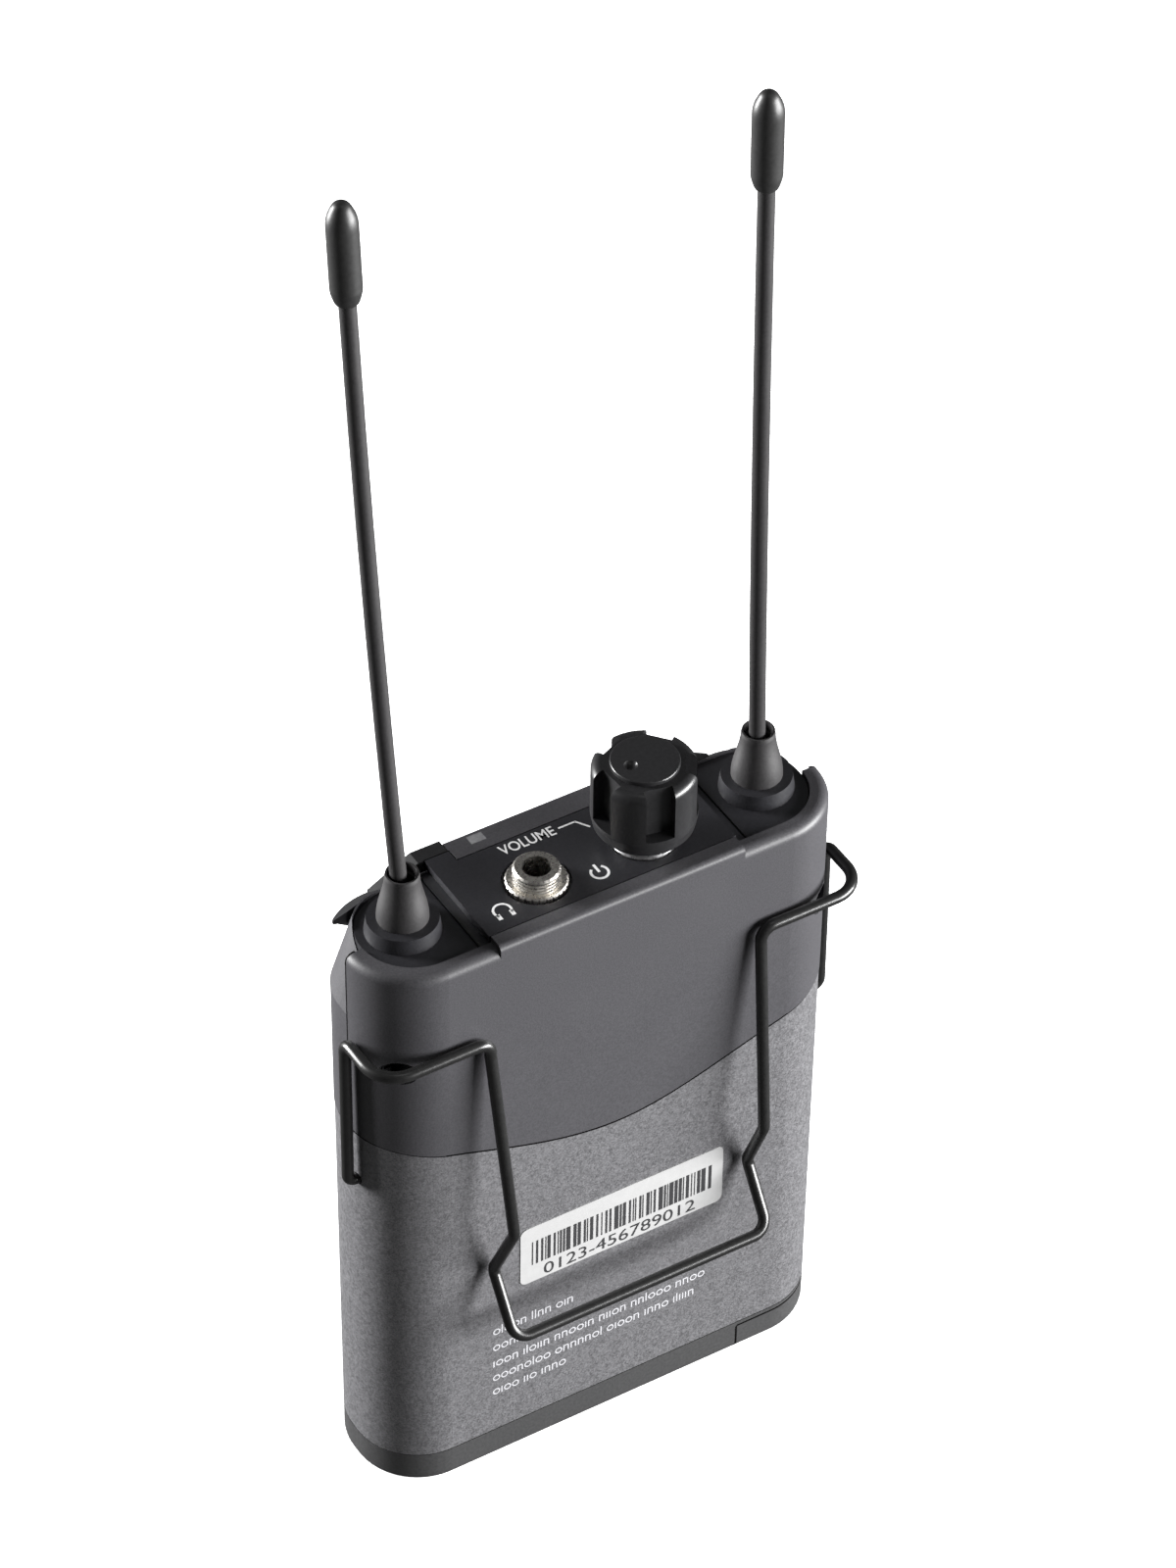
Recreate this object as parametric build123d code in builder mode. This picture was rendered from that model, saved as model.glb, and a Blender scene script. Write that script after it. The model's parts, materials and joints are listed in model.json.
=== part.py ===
from build123d import *
import math
import os

# Wireless in-ear body-pack receiver. Millimetres, +Z up, origin at the centre of the base.
# X is the wide way. The clip is on the -Y face, the display and the battery door on +Y.

# ---- driving dimensions ----
BASE_WIDTH = 66.7           # body outline at the base
BASE_DEPTH = 19.2
CORNER_RADIUS = 9.0
DRAFT = 0.27                # degrees: the body widens upwards
WALL = 1.7
COVER_WALL = 1.8

BAND_TOP = 5.0              # bottom cap meets the lower housing
SEAM_SIDE = 61.2            # lower housing meets the upper covers at the sides and front
SEAM_MIDDLE = 53.0          # lowest point of the wavy seam on the back
SHOULDER_FOOT = 80.8        # where the front shoulders start to slope
RIM_TOP = 90.9              # rim of the covers around the cap
LOBE_TOP = 90.5             # cap surface around the antennas
PLATFORM_TOP = 91.6         # raised control panel
CAP_BOTTOM = 88.6
COVER_SPLIT_Y = -0.95       # parting plane of the two upper covers
SHOULDER_TAPER = 15.6
RIM_FILLET = 1.3
ROOF_LOW = 87.7             # underside of the covers' roof
FIT_GAP = 0.15              # visible gap between fixed shells
SEAM_GAP = 0.16             # fine line along the housing's seams

PLATFORM_HALF = 17.6
PLATFORM_BACK = -7.45
PLATFORM_FRONT = 8.0
FLANGE_HALF = 14.2          # notch in the platform, filled by the front cover's flange
FLANGE_BACK = 6.1
FLANGE_FRONT = 9.5
CAP_HALF = 31.25
CAP_BACK = -7.7
CAP_FRONT = 6.8
CAP_CORNER = 7.0

ANTENNA_X = 25.3
WHIP_RADIUS = 1.05
WHIP_FOOT = 92.6
WHIP_KNUCKLE = 93.1         # where the whip leaves the vertical, inside its boot
WHIP_TOP = 198.8
WHIP_LEAN = {-1: (-4.6, 3.5), 1: (-3.8, -2.9)}      # natural lean of each whip at its top
WHIP_BOW = {-1: -0.5, 1: -0.25}                     # and its sideways bow at mid-height
SLEEVE_LENGTH = 13.8
SLEEVE_COVER = 0.9          # rubber above the whip's end
SLEEVE_RADIUS = 1.9
SLEEVE_DOME = 3.3
SLEEVE_TAPER = 2.1
COLLAR_FOOT = 4.8
COLLAR_RIM = 4.5
BOOT_TOP = 99.75
BOOT_RADIUS = 3.25
BOOT_NECK = 2.18
BOOT_MOUTH = 1.85
BOOT_BORE = 1.2

JACK = (-7.6, -1.9)
JACK_BORE = 1.85
FERRULE_RADIUS = 3.0
FERRULE_TOP = 93.9
FERRULE_FOOT = 82.0
JACK_FLOOR = 79.0
KNOB = (7.65, -1.95)
RECESS_RADIUS = 4.4
RECESS_FLOOR = 91.0
SHAFT_RADIUS = 3.0
RUNNING_GAP = 0.05
BUSHING_RADIUS = 3.5
BUSHING_TOP = 96.4
SHAFT_TOP = 101.6
KNOB_FOOT = 93.7
KNOB_TOP = 104.3
KNOB_RADIUS = 6.65
KNOB_SLOTS = 5
SLOT_WIDTH = 3.7
SLOT_FLOOR_RADIUS = 4.95
SLOT_PHASE = 184.5
COMPONENT_FLOOR = 77.2      # top of the control board

DOOR_HALF = 24.0
DOOR_TOP = 60.5
DOOR_INNER_Y = 8.05
HINGE_Y = 8.35
HINGE_Z = 9.6
BARREL_RADIUS = 1.25
PIN_RADIUS = 0.6
SWING_GAP = 0.35

CELL_RADIUS = 7.1
CELL_X = 7.5
CELL_Y = -0.1
CELL_LENGTH = 49.2
NUB_RADIUS = 2.75
NUB_LENGTH = 1.3
TRAY_LOW = 5.2
TRAY_HIGH = 61.0
TRAY_WALL = 0.8
CONTACT_THICKNESS = 0.4

FLAP_EDGE_X = 19.1
FLAP_TOP = 4.25
FLAP_AXIS = (32.25, -1.75)
FLAP_KNUCKLE = 1.08
FLAP_PIN = 0.5
LUG_RADIUS = 0.8            # lug under the knuckle, which holds the pin's foot
LUG_LOW = 0.45
LUG_TOP = 1.0
PORT_CENTRE_X = 23.9
PORT_MOUTH_Y = -6.5
PORT_FLOOR_Z = 0.95

BEZEL_BACK = 8.05
BEZEL_HALF = 25.7
WING_HALF = 30.7
BEZEL_LOW = 69.0
BEZEL_PROUD = 0.15
WING_TIP_Z = 87.4
LIP_LOW = 87.5              # top lip of the bezel, in front of the cap
LIP_EDGE = 87.9
LIP_BACK = 7.1
LIP_TAPER = 51.0
LED_X = -10.1
LED_TOP = 87.8
LENS_HALF = 17.6
LENS_LOW = 71.0
LENS_HIGH = 85.6
BUTTON_Z = 65.2
BUTTON_PITCH = 12.5
BUTTON_SIZE = (7.0, 3.4)
BUTTON_GAP = 0.2

WIRE_RADIUS = 0.78
CLIP_SIDE_X = 34.75
CLIP_TIP = (-2.1, 53.4)
CLIP_BAR_Z = 77.8
CLIP_SIDE_Y = -2.0
CLIP_BACK_Y = -11.1
CLIP_TOP_X = 19.5
CLIP_HINGE_Z = 75.4
CLIP_SPLIT = 0.25           # gap where the wire is split for its flex
CLIP_OUTER = (18.4, -15.1, 46.8)
CLIP_PINCH = (18.9, -10.75, 37.0)
CLIP_FOOT = (18.9, -16.2, 28.7)

SCREW_X = 30.3
SCREW_Z = 75.0
SCREW_SEAT_Y = -4.6
SCREW_HEAD = 1.5
SCREW_SHANK = 1.0
FOOT_SCREW_X = 27.5

MAIN_BOARD_Y = 3.4
BOARD_THICKNESS = 1.2
LABEL_SIZE = (30.2, 10.0)
LABEL_CENTRE = (0.7, 35.3)
LABEL_THICKNESS = 0.1
BIG = 100.0                 # reaches past the object, for cutting blocks

slope = math.tan(math.radians(DRAFT))


def half_width(z):
    """Half of the body's width at height z."""
    return BASE_WIDTH / 2 + slope * z


def half_depth(z):
    """Half of the body's depth at height z."""
    return BASE_DEPTH / 2 + slope * z


def body_block(low, high, inset=0.0, taper=-DRAFT, mode=Mode.ADD):
    """The body's outline from one height to another, pulled in by inset all round."""
    width = 2 * (half_width(low) - inset)
    depth = 2 * (half_depth(low) - inset)
    with BuildSketch(Plane.XY.offset(low)) as outline:
        RectangleRounded(width, depth, CORNER_RADIUS - inset)
    extrude(outline.sketch, amount=high - low, taper=taper, mode=mode)


def block(x_span, y_span, z_span, mode=Mode.ADD):
    """A plain block between two corners."""
    size = [span[1] - span[0] for span in (x_span, y_span, z_span)]
    centre = [(span[1] + span[0]) / 2 for span in (x_span, y_span, z_span)]
    with Locations(tuple(centre)):
        Box(*size, mode=mode)


def rod(centre, radius, low, high, mode=Mode.ADD):
    """A vertical cylinder at centre (x, y)."""
    with Locations((centre[0], centre[1], (low + high) / 2)):
        Cylinder(radius, high - low, mode=mode)


def rod_y(x, z, radius, low, high, mode=Mode.ADD):
    """A cylinder along Y."""
    with Locations(Location((x, (low + high) / 2, z), (90, 0, 0))):
        Cylinder(radius, high - low, mode=mode)


def rod_x(y, z, radius, low, high, mode=Mode.ADD):
    """A cylinder along X."""
    with Locations(Location(((low + high) / 2, y, z), (0, 90, 0))):
        Cylinder(radius, high - low, mode=mode)


def above_seam(lift=0.0):
    """Everything above the seam: wavy behind the middle plane, level in front of it."""
    ridge = (SEAM_SIDE + SEAM_MIDDLE) / 2
    with BuildSketch(Plane((0, 0, lift), x_dir=(1, 0, 0), z_dir=(0, -1, 0))) as wave:
        with BuildLine():
            Spline(
                (-BIG / 2, SEAM_SIDE),
                (-30, SEAM_SIDE - 0.35),
                (-18.6, ridge + 0.2),
                (0, SEAM_MIDDLE),
                (18.6, ridge + 0.2),
                (30, SEAM_SIDE - 0.35),
                (BIG / 2, SEAM_SIDE),
                tangents=[(1, 0), (1, 0)],
            )
            Polyline((BIG / 2, SEAM_SIDE), (BIG / 2, BIG), (-BIG / 2, BIG), (-BIG / 2, SEAM_SIDE))
        make_face()
    with BuildPart() as region:
        extrude(wave.sketch, amount=BIG / 2)
        block((-BIG / 2, BIG / 2), (0, BIG / 2), (SEAM_SIDE + lift, BIG))
    return region.part


def cap_sketch(height, grow=0.0):
    """Outline of the cap at a height: two antenna lobes and the platform between them."""
    with BuildSketch(Plane.XY.offset(height)) as outline:
        with Locations((0, (CAP_BACK + CAP_FRONT) / 2)):
            RectangleRounded(2 * CAP_HALF, CAP_FRONT - CAP_BACK, CAP_CORNER)
        with Locations((0, PLATFORM_FRONT / 2)):
            Rectangle(2 * PLATFORM_HALF, PLATFORM_FRONT)
        with Locations((0, FLANGE_BACK + CAP_CORNER / 2)):
            Rectangle(2 * FLANGE_HALF, CAP_CORNER, mode=Mode.SUBTRACT)
        with Locations((0, PLATFORM_BACK - CAP_CORNER / 2)):
            Rectangle(2 * PLATFORM_HALF, CAP_CORNER, mode=Mode.SUBTRACT)
        if grow:
            offset(amount=grow, kind=Kind.INTERSECTION)
    return outline.sketch


def cut_cap_opening():
    """The opening that the cap drops into, with a ledge below it."""
    extrude(cap_sketch(CAP_BOTTOM, FIT_GAP), amount=CAP_BOTTOM, mode=Mode.SUBTRACT)
    extrude(cap_sketch(ROOF_LOW - 1, -1.2), amount=CAP_BOTTOM - ROOF_LOW + 2, mode=Mode.SUBTRACT)


# ---- bottom cap and port cover ----
def port_corner(inset, grow):
    """The corner of the band that the port cover fills, inset from the outline's inner side."""
    with BuildPart() as corner:
        body_block(-1, FLAP_TOP + grow, inset=-2)
        body_block(-2, FLAP_TOP + 1, inset=inset, mode=Mode.SUBTRACT)
        end_y = FLAP_AXIS[1] + FLAP_KNUCKLE + grow
        block((FLAP_EDGE_X - grow, BIG), (-BIG, end_y), (-1, BAND_TOP), mode=Mode.INTERSECT)
    return corner.part


def make_bottom_cap():
    hole_top = BAND_TOP + 1
    screw_y = 2.6
    corner = port_corner(WALL + FIT_GAP, FIT_GAP)
    with BuildPart() as wall:
        body_block(0, BAND_TOP, inset=WALL / 2)
        body_block(-1, hole_top, inset=2 * WALL + FIT_GAP, mode=Mode.SUBTRACT)
        block((FLAP_EDGE_X - 2 * WALL, BIG), (-BIG, 2), (0, BAND_TOP), mode=Mode.INTERSECT)
    with BuildPart() as bottom_cap:
        body_block(0, BAND_TOP)
        fillet(bottom_cap.faces().sort_by(Axis.Z)[0].edges(), radius=1.2)
        body_block(WALL, hole_top, inset=WALL, mode=Mode.SUBTRACT)
        add(wall.part)
        add(corner, mode=Mode.SUBTRACT)
        block(
            (PORT_CENTRE_X - 4.6, PORT_CENTRE_X + 4.6),
            (PORT_MOUTH_Y - 4, PORT_MOUTH_Y + 6.2),
            (PORT_FLOOR_Z - 0.1, PORT_FLOOR_Z + 3.3),
            mode=Mode.SUBTRACT,
        )
        rod(FLAP_AXIS, FLAP_KNUCKLE + FIT_GAP, LUG_TOP, FLAP_TOP + FIT_GAP, mode=Mode.SUBTRACT)
        rod(FLAP_AXIS, LUG_RADIUS, LUG_LOW, LUG_TOP)
        pivot_x, pivot_y = FLAP_AXIS
        block((pivot_x - 0.7, pivot_x + 0.4), (pivot_y, pivot_y + 1.5), (LUG_LOW, LUG_TOP))
        rod(FLAP_AXIS, FLAP_PIN, LUG_LOW + 0.1, hole_top, mode=Mode.SUBTRACT)
        for side in (-1, 1):
            post = (side * FOOT_SCREW_X, screw_y)
            rod(post, 2.6, 0.9, BAND_TOP)
            rod(post, 2.0, -1, 1.7, mode=Mode.SUBTRACT)
            rod(post, SCREW_SHANK, 1, hole_top, mode=Mode.SUBTRACT)
    bottom_cap.part.label = "bottom_cap"
    return bottom_cap.part


def make_port_cover():
    with BuildPart() as port_cover:
        body_block(0, FLAP_TOP)
        fillet(port_cover.faces().sort_by(Axis.Z)[0].edges(), radius=1.2)
        body_block(-1, FLAP_TOP + 1, inset=WALL, mode=Mode.SUBTRACT)
        block((FLAP_EDGE_X, BIG), (-BIG, FLAP_AXIS[1]), (-1, BIG), mode=Mode.INTERSECT)
        rod(FLAP_AXIS, FLAP_KNUCKLE + FIT_GAP, -1, LUG_TOP + FIT_GAP, mode=Mode.SUBTRACT)
        rod(FLAP_AXIS, FLAP_KNUCKLE, LUG_TOP + FIT_GAP, FLAP_TOP)
        rod(FLAP_AXIS, FLAP_PIN + RUNNING_GAP, -1, BAND_TOP, mode=Mode.SUBTRACT)
    port_cover.part.label = "port_cover"
    return port_cover.part


def make_port_pivot():
    with BuildPart() as port_pivot:
        rod(FLAP_AXIS, FLAP_PIN, LUG_LOW + 0.1, BAND_TOP)
    port_pivot.part.label = "port_pivot"
    return port_pivot.part


def make_usb_socket():
    """A small metal shell with a tongue, its mouth towards the back."""
    length = 6.0
    with BuildPart() as usb_socket:
        with BuildSketch(Plane.XZ.offset(-PORT_MOUTH_Y)) as shell:
            with Locations((PORT_CENTRE_X, PORT_FLOOR_Z + 1.6)):
                RectangleRounded(8.9, 3.2, 1.5)
        extrude(shell.sketch, amount=-length)
        with BuildSketch(Plane.XZ.offset(-PORT_MOUTH_Y)) as mouth:
            with Locations((PORT_CENTRE_X, PORT_FLOOR_Z + 1.6)):
                RectangleRounded(8.3, 2.6, 1.2)
                Rectangle(6.6, 0.7, mode=Mode.SUBTRACT)
        extrude(mouth.sketch, amount=-(length - 1), mode=Mode.SUBTRACT)
    usb_socket.part.label = "usb_socket"
    return usb_socket.part


def make_charge_board():
    with BuildPart() as charge_board:
        block((PORT_CENTRE_X - 6, PORT_CENTRE_X + 5), (PORT_MOUTH_Y + 6.05, 5.0), (WALL + 0.2, WALL + 1.2))
        rod((FOOT_SCREW_X, 2.6), 2.8, 0, BAND_TOP, mode=Mode.SUBTRACT)
    charge_board.part.label = "charge_board"
    return charge_board.part


# ---- lower housing, battery bay and door ----
def make_lower_housing():
    upper = above_seam()
    with BuildPart() as lower_housing:
        body_block(BAND_TOP + SEAM_GAP, SEAM_SIDE)
        body_block(BAND_TOP - 1, SEAM_SIDE + 1, inset=WALL, mode=Mode.SUBTRACT)
        add(upper, mode=Mode.SUBTRACT)
        for side in (-1, 1):
            jamb = sorted((side * (DOOR_HALF - 1), side * (DOOR_HALF + 4)))
            block(jamb, (6.8, 8.2), (BAND_TOP + 0.2, 12.5))
            post = (side * FOOT_SCREW_X, 2.6)
            rod(post, 2.6, BAND_TOP, 15.0)
            block(sorted((side * FOOT_SCREW_X, side * (half_width(10) - 1))), (1.6, 3.6), (BAND_TOP, 15.0))
            rod(post, SCREW_SHANK, BAND_TOP - 1, 12.0, mode=Mode.SUBTRACT)
            tip_y, tip_z = CLIP_TIP
            reach = sorted((side * (CLIP_SIDE_X - 4), side * CLIP_SIDE_X))
            rod_x(tip_y, tip_z, WIRE_RADIUS + 0.1, *reach, mode=Mode.SUBTRACT)
        block(
            (-DOOR_HALF - 0.2, DOOR_HALF + 0.2),
            (6.0, BIG),
            (HINGE_Z - BARREL_RADIUS - SWING_GAP, DOOR_TOP + 0.2),
            mode=Mode.SUBTRACT,
        )
        rod_x(HINGE_Y, HINGE_Z, PIN_RADIUS, -DOOR_HALF - 2.5, DOOR_HALF + 2.5, mode=Mode.SUBTRACT)
    lower_housing.part.label = "lower_housing"
    return lower_housing.part


def make_battery_door():
    with BuildPart() as battery_door:
        body_block(HINGE_Z, DOOR_TOP)
        block((-DOOR_HALF, DOOR_HALF), (DOOR_INNER_Y, BIG), (HINGE_Z, DOOR_TOP), mode=Mode.INTERSECT)
        rod_x(HINGE_Y, HINGE_Z, BARREL_RADIUS, -DOOR_HALF, DOOR_HALF)
        rod_x(HINGE_Y, HINGE_Z, PIN_RADIUS + RUNNING_GAP, -BIG, BIG, mode=Mode.SUBTRACT)
        # finger ridges across the top of the door
        for step in range(4):
            ridge_z = DOOR_TOP - 3.0 - 1.5 * step
            rod_x(half_depth(ridge_z) + 0.15, ridge_z, 0.4, -7, 7)
    battery_door.part.label = "battery_door"
    return battery_door.part


def make_door_pin():
    with BuildPart() as door_pin:
        rod_x(HINGE_Y, HINGE_Z, PIN_RADIUS, -DOOR_HALF - 2.4, DOOR_HALF + 2.4)
    door_pin.part.label = "door_pin"
    return door_pin.part


def make_battery_tray():
    half = 2 * CELL_RADIUS + 1.6
    back = CELL_Y - CELL_RADIUS - 0.7
    front = CELL_Y + CELL_RADIUS - 0.4
    with BuildPart() as battery_tray:
        block((-half, half), (back, front), (TRAY_LOW, TRAY_HIGH))
        for side in (-1, 1):
            pocket = sorted((side * 0.3, side * (half - TRAY_WALL)))
            block(pocket, (back + 0.6, BIG), (TRAY_LOW + TRAY_WALL, TRAY_HIGH - TRAY_WALL), mode=Mode.SUBTRACT)
    battery_tray.part.label = "battery_tray"
    return battery_tray.part


def make_cell(side):
    """A penlight cell: the left one stands nub up, the right one nub down."""
    middle = (TRAY_LOW + TRAY_HIGH) / 2
    low = middle - CELL_LENGTH / 2
    with BuildPart() as cell:
        rod((side * CELL_X, CELL_Y), CELL_RADIUS, low, low + CELL_LENGTH)
        fillet(cell.edges().filter_by(GeomType.CIRCLE), radius=0.5)
        if side < 0:
            rod((side * CELL_X, CELL_Y), NUB_RADIUS, low + CELL_LENGTH, low + CELL_LENGTH + NUB_LENGTH)
        else:
            rod((side * CELL_X, CELL_Y), NUB_RADIUS, low - NUB_LENGTH, low)
    cell.part.label = "battery_left" if side < 0 else "battery_right"
    return cell.part


def make_contact_plates():
    """Flat contacts at both ends of each cell."""
    low = TRAY_LOW + TRAY_WALL
    high = TRAY_HIGH - TRAY_WALL
    with BuildPart() as contact_plates:
        for side in (-1, 1):
            for floor in (low, high - CONTACT_THICKNESS):
                x_span = sorted((side * (CELL_X - 5.5), side * (CELL_X + 5.5)))
                block(x_span, (CELL_Y - 5.5, CELL_Y + 5.5), (floor, floor + CONTACT_THICKNESS))
    contact_plates.part.label = "contact_plates"
    return contact_plates.part


def make_contact_spring(side):
    """Coil spring behind each cell's flat end."""
    wire = 0.25
    radius = 3.2
    gap_low = TRAY_LOW + TRAY_WALL + CONTACT_THICKNESS
    cell_low = (TRAY_LOW + TRAY_HIGH - CELL_LENGTH) / 2
    height = cell_low - gap_low - 2 * wire
    start = gap_low + wire if side < 0 else TRAY_HIGH - (gap_low - TRAY_LOW) - wire - height
    with BuildPart() as contact_spring:
        with BuildLine(Plane.XY.offset(start)) as coil:
            Helix(pitch=height / 2.5, height=height, radius=radius, center=(side * CELL_X, CELL_Y, 0))
        with BuildSketch(Plane(origin=coil.line @ 0, z_dir=coil.line % 0)):
            Circle(wire)
        sweep(is_frenet=True)
    contact_spring.part.label = "contact_spring_left" if side < 0 else "contact_spring_right"
    return contact_spring.part


# ---- upper covers and cap ----
def make_upper_back_cover():
    upper = above_seam(SEAM_GAP)
    with BuildPart() as tab:
        body_block(RIM_TOP - 3.5, PLATFORM_TOP)
        tab_half = PLATFORM_HALF - 0.2
        block((-tab_half, tab_half), (-BIG, PLATFORM_BACK - FIT_GAP), (0, BIG), mode=Mode.INTERSECT)
        fillet(tab.edges().group_by(Axis.Z)[-1].sort_by(Axis.Y)[0], radius=0.8)
    with BuildPart() as bosses:
        for side in (-1, 1):
            rod_y(side * SCREW_X, SCREW_Z, SCREW_HEAD + 1.2, -8.3, COVER_SPLIT_Y)
        body_block(SEAM_MIDDLE, RIM_TOP, inset=0.5, mode=Mode.INTERSECT)
    with BuildPart() as upper_back_cover:
        body_block(SEAM_MIDDLE - 2, RIM_TOP)
        fillet(upper_back_cover.faces().sort_by(Axis.Z)[-1].edges(), radius=RIM_FILLET)
        add(tab.part)
        body_block(SEAM_MIDDLE - 3, ROOF_LOW, inset=COVER_WALL, mode=Mode.SUBTRACT)
        cut_cap_opening()
        add(bosses.part)
        block((-BIG, BIG), (-BIG, COVER_SPLIT_Y), (0, BIG), mode=Mode.INTERSECT)
        add(upper, mode=Mode.INTERSECT)
        for side in (-1, 1):
            rod_y(side * SCREW_X, SCREW_Z, SCREW_HEAD + 0.3, -BIG / 2, SCREW_SEAT_Y, mode=Mode.SUBTRACT)
            rod_y(side * SCREW_X, SCREW_Z, SCREW_SHANK, -BIG / 2, 0, mode=Mode.SUBTRACT)
    upper_back_cover.part.label = "upper_back_cover"
    return upper_back_cover.part


def shoulder_block(inset, top):
    """The front cover's outline: straight, then sloping shoulders above their foot."""
    body_block(SEAM_SIDE + SEAM_GAP, SHOULDER_FOOT, inset=inset)
    body_block(SHOULDER_FOOT, top, inset=inset, taper=SHOULDER_TAPER)


def bezel_face(grow=0.0):
    """The bezel's outline seen from the front: straight sides, widening to its wing tips."""
    with BuildSketch(Plane.XZ.offset(-BEZEL_BACK)) as face:
        with BuildLine():
            Polyline(
                (BEZEL_HALF, BEZEL_LOW),
                (BEZEL_HALF, WING_TIP_Z - 3.5),
                (WING_HALF, WING_TIP_Z),
                (WING_HALF, PLATFORM_TOP),
                (-WING_HALF, PLATFORM_TOP),
                (-WING_HALF, WING_TIP_Z),
                (-BEZEL_HALF, WING_TIP_Z - 3.5),
                (-BEZEL_HALF, BEZEL_LOW),
                close=True,
            )
        make_face()
        if grow:
            offset(amount=grow, kind=Kind.INTERSECTION)
    return face.sketch


def make_led_window():
    """Light guide from the status LED up to the window in the flange."""
    with BuildPart() as led_window:
        block((LED_X - 1.05, LED_X + 1.05), (7.65, 9.05), (LED_TOP + 0.2, PLATFORM_TOP))
        block((LED_X - 1.05, LED_X + 1.05), (6.8, 9.05), (LED_TOP + 0.2, LED_TOP + 1.2))
    led_window.part.label = "led_window"
    return led_window.part


def make_upper_front_cover():
    pocket = bezel_face(0.1)
    light_guide = make_led_window()
    with BuildPart() as cavity:
        shoulder_block(COVER_WALL, ROOF_LOW)
    with BuildPart() as upper_front_cover:
        shoulder_block(0, RIM_TOP)
        add(cavity.part, mode=Mode.SUBTRACT)
        # the bezel's pocket, the display's window and the flange in front of the platform
        extrude(pocket, amount=-BIG, mode=Mode.SUBTRACT)
        block((-BIG, BIG), (LIP_BACK - 0.1, BIG), (LIP_LOW - 0.1, BIG), mode=Mode.SUBTRACT)
        block((-20.5, 20.5), (MAIN_BOARD_Y + BOARD_THICKNESS, BIG), (69.5, 86.8), mode=Mode.SUBTRACT)
        block((-FLANGE_HALF, FLANGE_HALF), (FLANGE_BACK, FLANGE_FRONT), (LIP_LOW + 0.1, PLATFORM_TOP))
        block((-FLANGE_HALF, FLANGE_HALF), (FLANGE_BACK, BEZEL_BACK - 0.1), (86.8, LIP_LOW + 0.1))
        cut_cap_opening()
        add(light_guide, mode=Mode.SUBTRACT)
        block((LED_X - 0.9, LED_X + 0.9), (6.7, 7.8), (86.7, LED_TOP + 0.2), mode=Mode.SUBTRACT)
        for side in (-1, 1):
            rod_y(side * SCREW_X, SCREW_Z, 2.6, COVER_SPLIT_Y, 3.2)
        block((-BIG, BIG), (COVER_SPLIT_Y + SEAM_GAP, BIG), (0, BIG), mode=Mode.INTERSECT)
        for side in (-1, 1):
            rod_y(side * SCREW_X, SCREW_Z, SCREW_SHANK, -BIG / 2, 3.0, mode=Mode.SUBTRACT)
        for step in (-1, 0, 1):
            with BuildSketch(Plane.XZ) as hole:
                with Locations((step * BUTTON_PITCH, BUTTON_Z)):
                    RectangleRounded(BUTTON_SIZE[0] + 2 * BUTTON_GAP, BUTTON_SIZE[1] + 2 * BUTTON_GAP, 1.7)
            extrude(hole.sketch, amount=-BIG / 2, mode=Mode.SUBTRACT)
    upper_front_cover.part.label = "upper_front_cover"
    return upper_front_cover.part


def make_display_bezel():
    """Frame around the display, with a lip whose ends run out to a point at each shoulder."""
    raised = (FLANGE_HALF + 0.1, 18.5, 24.5)
    face = bezel_face()
    with BuildSketch(Plane.XZ.offset(-BEZEL_BACK)) as crest:
        with BuildLine():
            Polyline(
                (raised[0], LIP_LOW),
                (raised[0], PLATFORM_TOP),
                (raised[1], PLATFORM_TOP),
                (raised[2], LIP_EDGE + 0.4),
                (raised[2], LIP_LOW),
                close=True,
            )
        make_face()
        mirror(about=Plane.YZ)
    with BuildSketch(Plane.XY.offset(LIP_LOW - 2)) as back_edge:
        with BuildLine():
            Polyline((CAP_HALF + 4, LIP_BACK), (29.1, LIP_BACK), (30.6, 7.6), (CAP_HALF + 4, 9.6), close=True)
        make_face()
        mirror(about=Plane.YZ)
    with BuildPart() as display_bezel:
        body_block(BEZEL_LOW, LIP_EDGE, inset=-BEZEL_PROUD)
        body_block(LIP_EDGE, RIM_TOP, inset=-BEZEL_PROUD, taper=LIP_TAPER)
        extrude(crest.sketch, amount=-(half_depth(RIM_TOP) + BEZEL_PROUD - BEZEL_BACK))
        extrude(face, amount=-BIG / 2, both=True, mode=Mode.INTERSECT)
        block((-BIG, BIG), (-BIG, LIP_BACK), (0, BIG), mode=Mode.SUBTRACT)
        block((-BIG, BIG), (-BIG, BEZEL_BACK + 0.05), (0, LIP_LOW), mode=Mode.SUBTRACT)
        extrude(back_edge.sketch, amount=BIG, mode=Mode.SUBTRACT)
        block((-FLANGE_HALF - 0.1, FLANGE_HALF + 0.1), (0, BIG), (LIP_LOW, BIG), mode=Mode.SUBTRACT)
        extrude(cap_sketch(LIP_LOW - 1, FIT_GAP), amount=BIG, mode=Mode.SUBTRACT)
        block((-LENS_HALF, LENS_HALF), (0, BIG), (LENS_LOW, LENS_HIGH), mode=Mode.SUBTRACT)
    display_bezel.part.label = "display_bezel"
    return display_bezel.part


def make_display_lens():
    with BuildPart() as display_lens:
        block((-LENS_HALF, LENS_HALF), (8.8, 10.0), (LENS_LOW, LENS_HIGH))
    display_lens.part.label = "display_lens"
    return display_lens.part


def make_lcd_module():
    with BuildPart() as lcd_module:
        block((-19.5, 19.5), (MAIN_BOARD_Y + BOARD_THICKNESS, 7.9), (70.2, 85.7))
        with Locations((0, 7.9, 78.3)):
            Box(33, 0.6, 13, mode=Mode.SUBTRACT)
    lcd_module.part.label = "lcd_module"
    return lcd_module.part


def make_lcd_glass():
    with BuildPart() as lcd_glass:
        block((-16.5, 16.5), (7.6, 7.85), (71.8, 84.8))
    lcd_glass.part.label = "lcd_glass"
    return lcd_glass.part


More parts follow.
